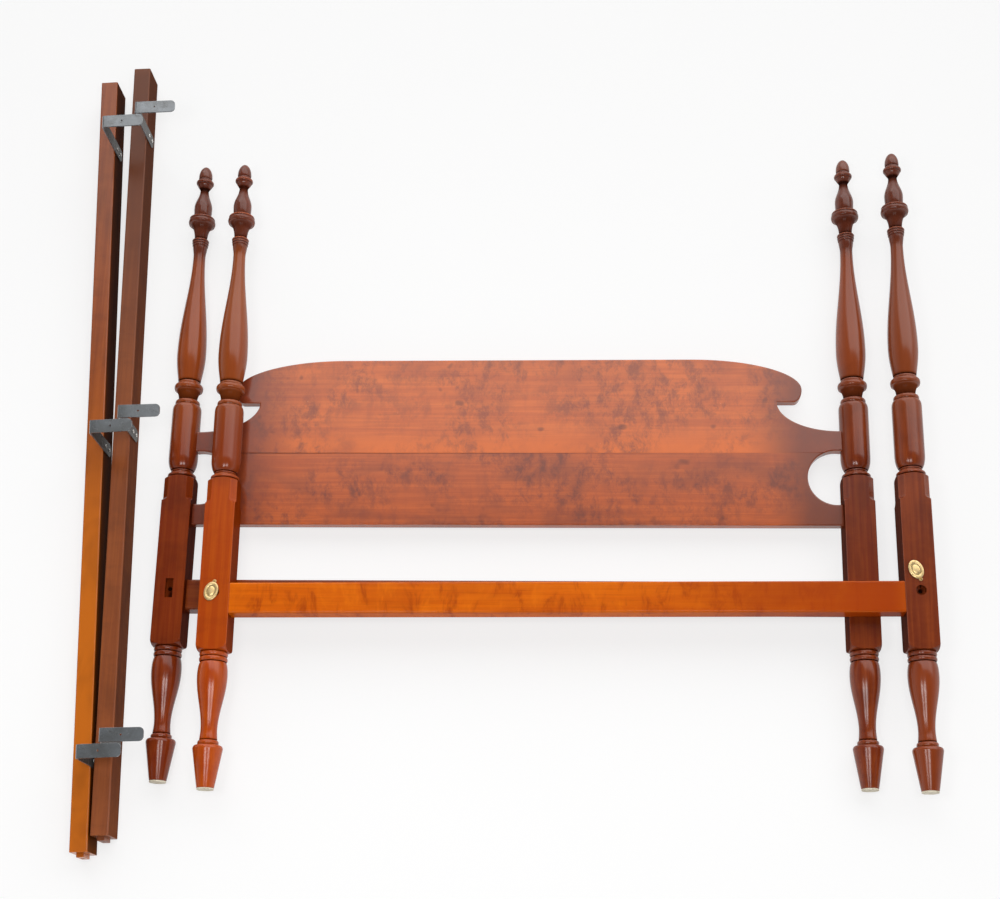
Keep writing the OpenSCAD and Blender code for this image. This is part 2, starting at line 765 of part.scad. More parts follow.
// Bent strip bracket on the inner face of a side rail
module rounded_strip(len) {
    r = strip_corner;
    translate([-strip_w / 2, 0]) square([strip_w, len - r]);
    translate([-strip_w / 2 + r, 0]) square([strip_w - 2 * r, len]);
    for (x = [-1, 1]) translate([x * (strip_w / 2 - r), len - r]) circle(r);
}

module bracket(y) {
    top_z = side_h + leg_past_rail;
    leg = leg_on_rail + leg_past_rail - strip_t - bend_r;
    out = bend_r + strip_t;
    color("#4b4b48") translate([side_t / 2, y, 0]) difference() {
        union() {
            translate([0, 0, top_z - out]) rotate([0, 90, 0]) rotate([0, 0, -90])
                linear_extrude(strip_t) rounded_strip(leg);
            translate([out, 0, top_z - strip_t]) rotate([0, 0, -90])
                linear_extrude(strip_t) rounded_strip(foot_len - out);
            translate([out, strip_w / 2, top_z - out]) rotate([90, 0, 0])
                bend_solid(out);
        }
        for (z = screw_heights) translate([-over, 0, z])
            rotate([0, 90, 0]) cylinder(r = strip_hole_r, h = strip_t + 2 * over);
        translate([slat_hole_in, 0, top_z - strip_t - over])
            cylinder(r = strip_hole_r, h = strip_t + 2 * over);
    }
}

// Quarter turn of the strip at its bend
module bend_solid(out) {
    intersection() {
        difference() {
            cylinder(r = out, h = strip_w);
            translate([0, 0, -over]) cylinder(r = bend_r, h = strip_w + 2 * over);
        }
        translate([-out, 0, -over]) cube([out, out, strip_w + 2 * over]);
    }
}

// Round-headed wood screws of one rail's brackets
module bracket_screws() {
    color("#b9b6ae") for (y = bracket_places, z = screw_heights)
        translate([side_t / 2 + strip_t + seat_gap / 3, y, z]) rotate([0, 90, 0]) union() {
            translate([0, 0, -screw_len]) cylinder(r = screw_r, h = screw_len + head_edge);
            screw_head(screw_head_r, screw_head_h);
        }
}

at_headboard() at_post(-1) head_post(1);  // head_post_left
at_headboard() at_post(1) head_post(-1);  // head_post_right
at_headboard() at_post(-1) finial();  // head_finial_left
at_headboard() at_post(1) finial();  // head_finial_right
at_headboard() at_post(-1) toe_pad();  // head_toe_pad_left
at_headboard() at_post(1) toe_pad();  // head_toe_pad_right
at_headboard() head_panel_board(false);  // head_panel_lower_board
at_headboard() head_panel_board(true);  // head_panel_upper_board
at_headboard() color("#74301a") board_rail(head_rail_low, rail_recess);  // head_rail
at_footboard() at_post(-1) foot_post(1);  // foot_post_left
at_footboard() at_post(1) foot_post(-1);  // foot_post_right
at_footboard() at_post(-1) finial();  // foot_finial_left
at_footboard() at_post(1) finial();  // foot_finial_right
at_footboard() at_post(-1) toe_pad();  // foot_toe_pad_left
at_footboard() at_post(1) toe_pad();  // foot_toe_pad_right
at_footboard() color("#a8501c") board_rail(foot_rail_low, block_w - rail_recess - board_rail_t);  // foot_rail
at_footboard() at_pivot(-1) rotate([0, 0, cover_left_turn]) bolt_cover();  // bolt_cover_left
at_footboard() at_pivot(1) rotate([0, 0, cover_right_turn]) bolt_cover();  // bolt_cover_right
at_footboard() at_pivot(-1) cover_screw();  // cover_screw_left
at_footboard() at_pivot(1) cover_screw();  // cover_screw_right
at_left_rail() side_rail();  // side_rail_left
at_left_rail() bracket(bracket_places[0]);  // left_bracket_foot
at_left_rail() bracket(bracket_places[1]);  // left_bracket_middle
at_left_rail() bracket(bracket_places[2]);  // left_bracket_head
at_left_rail() bracket_screws();  // left_bracket_screws
at_left_rail() rail_nuts();  // left_rail_nuts
at_right_rail() side_rail();  // side_rail_right
at_right_rail() bracket(bracket_places[0]);  // right_bracket_foot
at_right_rail() bracket(bracket_places[1]);  // right_bracket_middle
at_right_rail() bracket(bracket_places[2]);  // right_bracket_head
at_right_rail() bracket_screws();  // right_bracket_screws
at_right_rail() rail_nuts();  // right_rail_nuts
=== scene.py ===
"""Dresses a taken-apart poster bed that is laid flat on the floor.

The headboard lies on its back, the footboard lies across it, and the two side rails stand on edge
beside them, upside down. Lengths in the size classes are millimetres, everything built is metres.
"""
import json
import logging
import math
from dataclasses import dataclass
from enum import Enum
from typing import Callable, Optional

import bmesh
import bpy
from mathutils import Matrix, Vector
from mathutils.bvhtree import BVHTree


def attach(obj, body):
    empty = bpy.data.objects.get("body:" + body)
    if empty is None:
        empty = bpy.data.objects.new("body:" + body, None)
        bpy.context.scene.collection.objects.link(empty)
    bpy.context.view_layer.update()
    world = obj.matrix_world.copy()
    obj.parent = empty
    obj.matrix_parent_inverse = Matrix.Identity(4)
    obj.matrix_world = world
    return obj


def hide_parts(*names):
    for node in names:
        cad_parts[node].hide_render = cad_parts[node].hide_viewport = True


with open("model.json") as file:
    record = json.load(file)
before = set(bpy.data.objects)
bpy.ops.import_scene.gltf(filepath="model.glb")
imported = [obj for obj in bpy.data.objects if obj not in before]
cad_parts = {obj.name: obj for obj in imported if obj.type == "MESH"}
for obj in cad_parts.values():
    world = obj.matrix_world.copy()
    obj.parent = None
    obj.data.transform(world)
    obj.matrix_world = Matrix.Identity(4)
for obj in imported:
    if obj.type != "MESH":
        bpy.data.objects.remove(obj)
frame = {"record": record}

LOG = logging.getLogger("poster_bed")
MM = 0.001
QUARTER, EIGHTH = math.pi / 2, math.pi / 4
TURN_TO_X = Matrix.Rotation(QUARTER, 4, "Y")
TURN_TO_Y = Matrix.Rotation(-QUARTER, 4, "X")

# Millimetres between the axes of a board's two posts.
POST_SPACING = 1620.0

# Mesh points nearer than this are merged (metres), stations of an outline too (millimetres).
MERGED, LEAST_STEP = 2e-6, 0.04

# Wear and painted shade of a surface, from 0, painted shade in a groove, to 1, a worn edge with a painted
# highlight.
# A plain face, then eased edges and board edges, which are pale for wear and a painted highlight.
PLAIN_WEAR, EASED_WEAR, BOARD_WEAR = 0.5, 0.74, 0.76
# Painted shade inside a cut hole, and the least value of wear and painted shade.
DEEP_WEAR, LEAST_WEAR = 0.3, 0.02

# How far along an outline its neighbours count, and for each millimetre of standing out the change of wear
# and painted shade: painted shade in hollows, wear with a painted highlight on ridges; the wide reach only
# adds painted shade.
FINE_REACH, FINE_WEAR = 8.0, 0.32
WIDE_REACH, WIDE_WEAR = 30.0, 0.07

# Depth in metres from which a new point of a cut lies inside the piece.
SURFACE_DEPTH = 0.5 * MM

# Edges flatter than this angle in degrees stay smooth, and so do those between faces whose sizes
# differ by less than this factor.
SLIGHT_ANGLE, NARROW_SHARE = 7.0, 8

Colour = tuple[float, float, float]
Station = tuple[float, float]
Socket = bpy.types.NodeSocket
Mesh = bpy.types.Mesh
Vertex = bmesh.types.BMVert


class Side(Enum):
    """Left or right as seen from above with the finials away from the viewer."""

    LEFT = "left"
    RIGHT = "right"

    @property
    def sign(self) -> int:
        """Gives -1 for the left side and 1 for the right side."""
        return -1 if self is Side.LEFT else 1


class Grain(Enum):
    """Way that the grain runs on a piece of wood."""

    ALONG_X = 0
    ALONG_Y = 1


class Face(Enum):
    """Face of a post that looks up at the viewer."""

    INNER_UP = "inner"
    OUTER_UP = "outer"


# ---------------------------------------------------------------- node trees


class NodeDesk:
    """A node tree with short ways to add and join nodes."""

    def __init__(self, tree: bpy.types.NodeTree) -> None:
        """Keeps the tree."""
        self.tree = tree

    def feed(self, socket: Socket, value: object) -> None:
        """Joins an input to an output, or sets it to a value.

        Args:
            socket: Input to fill.
            value: Output, number, name, object, vector or colour.
        """
        if isinstance(value, Socket):
            self.tree.links.new(value, socket)
        else:
            socket.default_value = (*value, 1.0) if socket.type == "RGBA" else value

    def add(
        self, kind: str, settings: Optional[dict[str, object]] = None, **inputs: object
    ) -> bpy.types.Node:
        """Adds a node and fills its inputs.

        Args:
            kind: Class name of the node.
            settings: Properties of the node.
            inputs: Values or sockets, by input name with _ for a space, or n0, n1 for a number.

        Returns:
            The node.
        """
        node = self.tree.nodes.new(kind)
        for key, value in (settings or {}).items():
            setattr(node, key, value)
        for key, value in inputs.items():
            numbered = key[0] == "n" and key[1:].isdigit()
            self.feed(node.inputs[int(key[1:]) if numbered else key.replace("_", " ")], value)
        return node

    def calc(self, kind: str, a: object, b: object = 0.0) -> Socket:
        """Adds a Math node.

        Args:
            kind: Operation of the node.
            a: First value or socket.
            b: Second value or socket.

        Returns:
            The result.
        """
        return self.add("ShaderNodeMath", {"operation": kind}, n0=a, n1=b).outputs[0]

    def apart(self, vector: Socket) -> bpy.types.NodeOutputs:
        """Gives the three numbers of a vector."""
        return self.add("ShaderNodeSeparateXYZ", Vector=vector).outputs

    def spread(
        self, value: Socket, low: float, high: float, to_low: float = 0.0, to_high: float = 1.0
    ) -> Socket:
        """Maps a value smoothly from one range to another.

        Args:
            value: Value to map.
            low: Value that gives to_low.
            high: Value that gives to_high.
            to_low: Result at low.
            to_high: Result at high.

        Returns:
            The mapped value.
        """
        return self.add(
            "ShaderNodeMapRange", {"interpolation_type": "SMOOTHSTEP"},
            Value=value, From_Min=low, From_Max=high, To_Min=to_low, To_Max=to_high,
        ).outputs["Result"]

    def seen(self) -> Socket:
        """Gives 1 to rays from the camera, off gloss and through glass, and 0 to those that only light.

        Returns:
            The share.
        """
        path = self.add("ShaderNodeLightPath").outputs
        direct = self.calc("MAXIMUM", path["Is Camera Ray"], path["Is Glossy Ray"])
        return self.calc("MAXIMUM", direct, path["Is Transmission Ray"])


class ShaderDesk(NodeDesk):
    """A material's node tree about one Principled shader."""

    def __init__(self, name: str) -> None:
        """Starts the material of that name.

        Args:
            name: Name of the material.
        """
        self.material = bpy.data.materials.new(name)
        self.material.use_nodes = True
        super().__init__(self.material.node_tree)
        self.tree.nodes.clear()
        self.shader = self.add("ShaderNodeBsdfPrincipled")
        self.output = self.add("ShaderNodeOutputMaterial", Surface=self.shader.outputs["BSDF"])
        self.point = self.add("ShaderNodeTexCoord").outputs["Object"]

    def noise(
        self, stretch: Colour, detail: float, rough: float = 0.5, warp: float = 0.0,
        shift: Colour = (0.0, 0.0, 0.0),
    ) -> Socket:
        """Adds a noise texture on the object's own coordinates.

        Args:
            stretch: Factor along each axis.
            detail: Number of finer layers.
            rough: Weight of the finer layers.
            warp: Distortion.
            shift: Shift after the stretch.

        Returns:
            The noise value.
        """
        mapped = self.add("ShaderNodeMapping", Vector=self.point, Scale=stretch, Location=shift)
        return self.add(
            "ShaderNodeTexNoise", Vector=mapped.outputs["Vector"], Scale=1.0, Detail=detail,
            Roughness=rough, Distortion=warp,
        ).outputs["Fac"]

    def mix(self, share: object, a: object, b: object) -> Socket:
        """Mixes two colours.

        Args:
            share: Weight of the second colour.
            a: First colour or socket.
            b: Second colour or socket.

        Returns:
            The mixed colour.
        """
        settings = {"data_type": "RGBA", "clamp_factor": True}
        return self.add("ShaderNodeMix", settings, n0=share, n6=a, n7=b).outputs[2]

    def tint(
        self, colour: object, other: object, value: Socket, low: float, high: float, most: float = 1.0
    ) -> Socket:
        """Mixes a second colour in where a value is high.

        Args:
            colour: Colour so far.
            other: Colour to mix in.
            value: Value that decides.
            low: Value that gives none of it.
            high: Value that gives the most of it.
            most: Largest weight of the second colour.

        Returns:
            The mixed colour.
        """
        return self.mix(self.spread(value, low, high, 0.0, most), colour, other)

    def wear(self) -> Socket:
        """Reads the wear and painted shade stored on the mesh, from 0, painted shade in a groove, to 1, a
        worn edge with a painted highlight.
        """
        return self.add("ShaderNodeAttribute", {"attribute_name": "wear"}).outputs["Fac"]

    def shade(self, **inputs: object) -> None:
        """Fills the shader's inputs, by name with _ for a space."""
        for key, value in inputs.items():
            self.feed(self.shader.inputs[key.replace("_", " ")], value)

    def bump(self, height: Socket, strength: float, depth: float) -> None:
        """Roughens the shader's normal.

        Args:
            height: Height value.
            strength: Strength of the effect.
            depth: Height of the relief in metres.
        """
        relief = self.add("ShaderNodeBump", Strength=strength, Distance=depth, Height=height)
        self.shade(Normal=relief.outputs["Normal"])


class ShapeDesk(NodeDesk):
    """A Geometry Nodes tree that takes a mesh and gives a finished one."""

    def __init__(self, name: str, inputs: dict[str, str]) -> None:
        """Starts a tree that takes and gives geometry.

        Args:
            name: Name of the tree.
            inputs: Names of further inputs and their socket types.
        """
        super().__init__(bpy.data.node_groups.new(name, "GeometryNodeTree"))
        face = self.tree.interface
        face.new_socket("Geometry", in_out="INPUT", socket_type="NodeSocketGeometry")
        self.keys = {
            title: face.new_socket(title, in_out="INPUT", socket_type=kind).identifier
            for title, kind in inputs.items()
        }
        face.new_socket("Geometry", in_out="OUTPUT", socket_type="NodeSocketGeometry")
        self.given = self.add("NodeGroupInput").outputs
        self.end = self.add("NodeGroupOutput")

    def close(self, geometry: Socket) -> None:
        """Ends the tree with real geometry in its finish.

        Args:
            geometry: Geometry so far.
        """
        real = self.add("GeometryNodeRealizeInstances", Geometry=geometry).outputs[0]
        done = self.add("GeometryNodeSetMaterial", Geometry=real, Material=self.given["Finish"])
        self.feed(self.end.inputs[0], done.outputs[0])

    def run(self, mesh: Mesh, values: dict[str, object], name: str) -> Mesh:
        """Runs the tree on a mesh.

        Args:
            mesh: Mesh that goes in.
            values: Values of the further inputs.
            name: Name of the result.

        Returns:
            The plain mesh that comes out.
        """
        obj = as_object(name + "_tree", mesh)
        modifier = obj.modifiers.new("shape", "NODES")
        modifier.node_group = self.tree
        for title, value in values.items():
            modifier[self.keys[title]] = value
        result = evaluated_mesh(obj, name)
        bpy.data.objects.remove(obj)
        return result


def turning_tree() -> ShapeDesk:
    """Builds the tree that spins an outline about the vertical, as a lathe does.

    Returns:
        The tree, with inputs for the number of sides and the finish.
    """
    desk = ShapeDesk("turning", {"Sides": "NodeSocketInt", "Finish": "NodeSocketMaterial"})
    outline = desk.given["Geometry"]
    count = desk.add("GeometryNodeAttributeDomainSize", Geometry=outline).outputs["Point Count"]
    grid = desk.add(
        "GeometryNodeMeshGrid", Size_X=1.0, Size_Y=1.0, Vertices_X=count,
        Vertices_Y=desk.calc("ADD", desk.given["Sides"], 1.0),
    )
    place = desk.add("GeometryNodeInputPosition").outputs[0]
    across, up, _ = list(desk.apart(place))
    last = desk.calc("SUBTRACT", count, 1.0)
    number = desk.calc("ROUND", desk.calc("MULTIPLY", desk.calc("ADD", across, 0.5), last))
    angle = desk.calc("MULTIPLY", desk.calc("ADD", up, 0.5), 2 * math.pi)

    def sampled(kind: str, value: Socket) -> Socket:
        """Reads a value of the outline at the grid's column.

        Args:
            kind: Data type of the value.
            value: Value on the outline.

        Returns:
            The value for each grid point.
        """
        settings = {"data_type": kind, "domain": "POINT"}
        return desk.add(
            "GeometryNodeSampleIndex", settings, Geometry=outline, Value=value, Index=number
        ).outputs[0]

    radius, _, height = list(desk.apart(sampled("FLOAT_VECTOR", place)))
    target = desk.add(
        "ShaderNodeCombineXYZ", X=desk.calc("MULTIPLY", desk.calc("COSINE", angle), radius),
        Y=desk.calc("MULTIPLY", desk.calc("SINE", angle), radius), Z=height,
    )
    named = desk.add("GeometryNodeInputNamedAttribute", {"data_type": "FLOAT"}, Name="wear")
    stored = desk.add(
        "GeometryNodeStoreNamedAttribute", {"data_type": "FLOAT", "domain": "POINT"},
        Geometry=grid.outputs["Mesh"], Name="wear", Value=sampled("FLOAT", named.outputs[0]),
    )
    moved = desk.add("GeometryNodeSetPosition", Geometry=stored.outputs[0], Position=target.outputs[0])
    merged = desk.add("GeometryNodeMergeByDistance", Geometry=moved.outputs[0], Distance=MERGED)
    desk.close(merged.outputs[0])
    return desk


def repeating_tree() -> ShapeDesk:
    """Builds the tree that sets copies of one piece on points, each spun a little about its X axis.

    Returns:
        The tree, with inputs for the piece, the largest spin, the seed and the finish.
    """
    desk = ShapeDesk("repeating", {
        "Piece": "NodeSocketObject", "Spin": "NodeSocketFloat", "Seed": "NodeSocketInt",
        "Finish": "NodeSocketMaterial",
    })
    piece = desk.add("GeometryNodeObjectInfo", Object=desk.given["Piece"])
    spin = desk.add("FunctionNodeRandomValue", {"data_type": "FLOAT"}, Seed=desk.given["Seed"])
    least, most = [end for end in spin.inputs if end.type == "VALUE" and end.name in ("Min", "Max")]
    desk.feed(least, desk.calc("MULTIPLY", desk.given["Spin"], -1.0))
    desk.feed(most, desk.given["Spin"])
    value = next(end for end in spin.outputs if end.type == "VALUE" and end.enabled)
    copies = desk.add(
        "GeometryNodeInstanceOnPoints", Points=desk.given["Geometry"], Instance=piece.outputs["Geometry"],
        Rotation=desk.add("ShaderNodeCombineXYZ", X=value).outputs[0],
    )
    desk.close(copies.outputs["Instances"])
    return desk


# ---------------------------------------------------------------- finishes


@dataclass(frozen=True)
class Fade:
    """Change of a wood's colour along one axis, between two places in metres."""

    axis: int
    start: float
    end: float
    colour: Colour


@dataclass(frozen=True)
class Layer:
    """A noise in wood: its stretch across and along the grain, detail, roughness and distortion."""

    across: float
    along: float
    detail: float
    rough: float = 0.5
    warp: float = 0.0


STREAKS = Layer(105.0, 2.6, 5.0, 0.62, 0.25)
CLOUDS = Layer(9.0, 4.6, 3.0, 0.55, 0.6)
PORES = Layer(560.0, 15.0, 2.0)
FIGURE = Layer(9.0, 24.0, 4.0, 0.68, 0.5)
SPOT_GROUPS = Layer(6.5, 3.6, 2.0, 0.5, 0.5)
SPOT_MARKS = Layer(22.0, 34.0, 5.0, 0.75, 0.2)
KNOTS = Layer(30.0, 26.0, 1.0, 0.4)
NICKS, NICK_COLOUR = (90.0, 130.0, 60.0), (0.75, 0.42, 0.18)


@dataclass(frozen=True)
class WoodFinish:
    """Varnished wood with streaks along its grain, cloudy patches, painted shade in grooves and on shaded
    faces, and pale worn edges with a painted highlight.
    """

    name: str
    dark: Colour
    body: Colour
    light: Colour
    grain: Grain
    shift: Colour
    cloud: float = 0.5
    figure: float = 0.2
    streak: float = 0.6
    spots: float = 0.0
    spot_colour: Colour = (0.16, 0.036, 0.020)
    fades: tuple[Fade, ...] = ()
    rough: float = 0.4
    coat: float = 0.85
    coat_rough: float = 0.19
    coat_ior: float = 1.5

    def layers(self, desk: ShaderDesk, *kinds: Layer) -> list[Socket]:
        """Adds noises that follow the grain.

        Args:
            desk: Node tree of the material.
            kinds: The noises.

        Returns:
            Their values.
        """
        stretches = [
            (kind.along, kind.across, kind.across) if self.grain is Grain.ALONG_X
            else (kind.across, kind.along, kind.across) for kind in kinds
        ]
        return [
            desk.noise(stretch, kind.detail, kind.rough, kind.warp, self.shift)
            for stretch, kind in zip(stretches, kinds)
        ]

    def make(self) -> bpy.types.Material:
        """Builds the material.

        Returns:
            The finished material.
        """
        desk = ShaderDesk(self.name)
        streaks, clouds, pores, figure = self.layers(desk, STREAKS, CLOUDS, PORES, FIGURE)
        tone = desk.calc("MULTIPLY", desk.spread(streaks, 0.36, 0.66), self.streak)
        colour = desk.mix(tone, self.body, self.light)
        for other, value, low, high, most in (
            (self.dark, clouds, 0.44, 0.74, self.cloud), (self.light, figure, 0.52, 0.74, self.figure),
            (self.dark, figure, 0.5, 0.3, self.figure), (self.dark, streaks, 0.36, 0.22, 0.55),
            (self.dark, pores, 0.58, 0.78, 0.35),
        ):
            colour = desk.tint(colour, other, value, low, high, most)
        for fade in self.fades:
            toned = desk.tint(fade.colour, self.dark, clouds, 0.4, 0.75, 0.45)
            colour = desk.tint(colour, toned, desk.apart(desk.point)[fade.axis], fade.start, fade.end)
        if self.spots > 0.0:
            colour = self.spotted(desk, colour)
        wear = desk.wear()
        # Painted shade in grooves and on shaded faces, with some grime in the grooves.
        colour = desk.tint(colour, tuple(value * 0.12 for value in self.dark), wear, 0.47, 0.2, 0.92)
        # Pale worn edges with a painted highlight; the coat thins where the painted shade is.
        desk.shade(
            Base_Color=desk.tint(colour, self.light, wear, 0.6, 0.95, 0.55),
            Roughness=desk.spread(clouds, 0.3, 0.7, self.rough * 0.85, self.rough * 1.2),
            IOR=1.45, Specular_IOR_Level=0.0, Coat_Roughness=self.coat_rough, Coat_IOR=self.coat_ior,
            Coat_Weight=desk.spread(wear, 0.33, 0.50, self.coat * 0.04, self.coat),
        )
        desk.bump(desk.mix(0.4, pores, streaks), 0.12, 0.0004)
        return desk.material

    def spotted(self, desk: ShaderDesk, colour: Socket) -> Socket:
        """Adds soft dark smudges that run across the grain, a few small knots and pale nicks.

        Args:
            desk: Node tree of the material.
            colour: Colour so far.

        Returns:
            The colour with its marks.
        """
        groups, marks, knots = self.layers(desk, SPOT_GROUPS, SPOT_MARKS, KNOTS)
        nicks = desk.noise(NICKS, 2.0, 0.6, shift=self.shift)
        share = desk.calc("MULTIPLY", desk.spread(groups, 0.30, 0.58), desk.spread(marks, 0.41, 0.68))
        colour = desk.mix(desk.calc("MULTIPLY", share, self.spots), colour, self.spot_colour)
        colour = desk.tint(colour, tuple(value * 0.6 for value in self.spot_colour), knots, 0.70, 0.82, 0.6)
        return desk.tint(colour, NICK_COLOUR, nicks, 0.79, 0.82, 0.6)


@dataclass(frozen=True)
class MetalFinish:
    """Metal with cloudy tarnish, grime, fine scratches, painted shade where the mesh marks it, and brighter
    edges, worn and with a painted highlight.
    """

    name: str
    bright: Colour
    dull: Colour
    grime: Colour
    metallic: float
    rough: float
    scale: float
    scratch: Colour = (300.0, 900.0, 300.0)
    specular: float = 0.5
    film: float = 0.0

    def make(self) -> bpy.types.Material:
        """Builds the material.

        Returns:
            The finished material.
        """
        desk = ShaderDesk(self.name)
        clouds = desk.noise((self.scale,) * 3, 5.0, 0.65, 0.5)
        fine = desk.noise((self.scale * 6,) * 3, 4.0, 0.6)
        lines = desk.noise(self.scratch, 2.0)
        wear = desk.wear()
        colour = desk.tint(self.bright, self.dull, clouds, 0.35, 0.68)
        colour = desk.tint(colour, self.grime, fine, 0.52, 0.78, 0.6)
        # Painted shade on bracket legs and in slots and holes, and patina in a cover's hollows.
        colour = desk.tint(colour, self.grime, wear, 0.42, 0.1, 0.85)
        # Brighter edges: wear with a painted highlight.
        desk.shade(
            Base_Color=desk.tint(colour, self.bright, wear, 0.6, 1.0, 0.6),
            Roughness=desk.spread(fine, 0.3, 0.7, self.rough * 0.8, self.rough * 1.35),
            Metallic=desk.spread(wear, 0.2, 0.42, self.metallic * 0.2, self.metallic),
            Specular_IOR_Level=self.specular, Coat_Roughness=self.rough, Coat_IOR=1.6,
            Coat_Weight=desk.spread(wear, 0.2, 0.42, 0.0, self.film),
        )
        desk.bump(desk.mix(0.5, lines, fine), 0.1, 0.0003)
        return desk.material


@dataclass(frozen=True)
class FeltFinish:
    """Pale felt with short matted fibres."""

    name: str
    pale: Colour
    soiled: Colour

    def make(self) -> bpy.types.Material:
        """Builds the material.

        Returns:
            The finished material.
        """
        desk = ShaderDesk(self.name)
        soil = desk.noise((70.0,) * 3, 4.0, 0.6)
        desk.shade(
            Base_Color=desk.tint(self.pale, self.soiled, soil, 0.4, 0.7), Roughness=0.95, Sheen_Weight=0.2
        )
        desk.bump(desk.noise((900.0,) * 3, 4.0, 0.7, 1.0), 0.5, 0.0006)
        return desk.material


@dataclass(frozen=True)
class FloorFinish:
    """Plain pale studio floor that shows nearly white and keeps a part of each shadow."""

    name: str
    colour: Colour
    lift: float

    def make(self) -> bpy.types.Material:
        """Builds the material.

        Returns:
            The finished material.
        """
        desk = ShaderDesk(self.name)
        faint = desk.noise((1.3,) * 3, 2.0)
        darker = tuple(value * 0.985 for value in self.colour)
        desk.shade(
            Base_Color=desk.tint(self.colour, darker, faint, 0.3, 0.7), Roughness=0.9, Specular_IOR_Level=0.1
        )
        white = desk.add("ShaderNodeEmission", Color=(1.0, 1.0, 1.0))
        both = desk.add(
            "ShaderNodeMixShader", n0=desk.calc("MULTIPLY", desk.seen(), self.lift),
            n1=desk.shader.outputs["BSDF"], n2=white.outputs[0],
        )
        desk.feed(desk.output.inputs["Surface"], both.outputs[0])
        return desk.material


Finish = WoodFinish | MetalFinish | FeltFinish | FloorFinish
CROWNING = (Fade(1, 0.455, 0.505, (0.140, 0.033, 0.016)), Fade(1, 0.70, 0.716, (0.200, 0.058, 0.032)))
HEAD_LEFT_WOOD = WoodFinish(
    "head_left_varnish", (0.085, 0.012, 0.003), (0.190, 0.024, 0.004), (0.285, 0.050, 0.007),
    Grain.ALONG_Y, (3.1, 0.4, 7.7), fades=(Fade(1, -0.08, 0.10, (0.300, 0.060, 0.012)), *CROWNING),
)
HEAD_RIGHT_WOOD = WoodFinish(
    "head_right_varnish", (0.075, 0.011, 0.004), (0.175, 0.025, 0.006), (0.290, 0.056, 0.009),
    Grain.ALONG_Y, (11.3, 5.1, 2.9), fades=(Fade(1, -0.08, 0.10, (0.260, 0.052, 0.014)), *CROWNING),
)
FOOT_LEFT_WOOD = WoodFinish(
    "foot_left_varnish", (0.230, 0.026, 0.003), (0.400, 0.052, 0.003), (0.520, 0.090, 0.004),
    Grain.ALONG_Y, (6.2, 9.4, 4.1), cloud=0.35,
    fades=(
        Fade(1, -0.17, -0.10, (0.240, 0.040, 0.007)), Fade(1, -0.02, 0.12, (0.290, 0.066, 0.014)),
        *CROWNING,
    ),
)
FOOT_RIGHT_WOOD = WoodFinish(
    "foot_right_varnish", (0.080, 0.012, 0.005), (0.185, 0.030, 0.008), (0.310, 0.060, 0.011),
    Grain.ALONG_Y, (1.7, 12.8, 8.8),
    fades=(
        Fade(1, -0.08, 0.10, (0.235, 0.050, 0.014)), Fade(1, -0.54, -0.60, (0.245, 0.044, 0.010)),
        *CROWNING,
    ),
)
UPPER_BOARD_WOOD = WoodFinish(
    "upper_board_varnish", (0.315, 0.059, 0.018), (0.545, 0.105, 0.017), (0.680, 0.150, 0.021),
    Grain.ALONG_X, (2.3, 1.9, 0.7), cloud=0.5, spots=0.7, streak=0.8, coat=1.0, coat_rough=0.18, coat_ior=1.6,
    fades=(
        # The Fade along Y is the orange band above the seam; the Fades along X darken both ends: darker wood
        # with a painted shadow of the posts.
        Fade(1, 0.02, -0.035, (0.680, 0.136, 0.013)), Fade(0, -0.44, -0.62, (0.200, 0.036, 0.014)),
        Fade(0, 0.60, 0.76, (0.180, 0.036, 0.014)),
    ),
)
LOWER_BOARD_WOOD = WoodFinish(
    "lower_board_varnish", (0.220, 0.046, 0.018), (0.420, 0.077, 0.015), (0.565, 0.114, 0.018),
    Grain.ALONG_X, (8.9, 4.7, 3.3), cloud=0.65, spots=0.85, streak=0.75, coat=1.0, coat_rough=0.18,
    coat_ior=1.58,
    # The Fades darken both ends: darker wood with a painted shadow of the posts.
    fades=(Fade(0, -0.48, -0.64, (0.190, 0.036, 0.014)), Fade(0, 0.66, 0.78, (0.180, 0.038, 0.014))),
)
HEAD_RAIL_WOOD = WoodFinish(
    "head_rail_varnish", (0.080, 0.012, 0.004), (0.190, 0.030, 0.006), (0.30, 0.062, 0.010),
    Grain.ALONG_X, (5.5, 2.2, 9.9), cloud=0.4,
)
FOOT_RAIL_WOOD = WoodFinish(
    "foot_rail_varnish", (0.330, 0.042, 0.002), (0.600, 0.105, 0.002), (0.740, 0.165, 0.003),
    Grain.ALONG_X, (4.4, 7.1, 1.2), cloud=0.45, figure=0.8, streak=0.55, coat=0.35,
    fades=(Fade(0, 0.25, 1.0, (0.360, 0.044, 0.002)),),
)
LEFT_SIDE_WOOD = WoodFinish(
    "left_side_rail_varnish", (0.110, 0.026, 0.006), (0.240, 0.050, 0.009), (0.360, 0.085, 0.014),
    Grain.ALONG_Y, (9.1, 3.6, 5.4), cloud=0.4, coat=0.85, coat_rough=0.2,
    fades=(Fade(1, 0.30, -0.40, (0.540, 0.135, 0.009)),),
)
RIGHT_SIDE_WOOD = WoodFinish(
    "right_side_rail_varnish", (0.100, 0.023, 0.007), (0.215, 0.052, 0.013), (0.320, 0.085, 0.018),
    Grain.ALONG_Y, (7.9, 1.1, 6.3), coat=0.7, coat_rough=0.32,
    fades=(Fade(1, -0.1, 0.9, (0.130, 0.033, 0.009)),),
)
COVER_BRASS = MetalFinish(
    "cover_brass", (0.90, 0.68, 0.34), (0.68, 0.46, 0.19), (0.12, 0.09, 0.03), 0.9, 0.33, 240.0,
)
SCREW_BRASS = MetalFinish(
    "screw_brass", (0.72, 0.47, 0.17), (0.40, 0.24, 0.08), (0.08, 0.05, 0.02), 1.0, 0.3, 300.0,
)
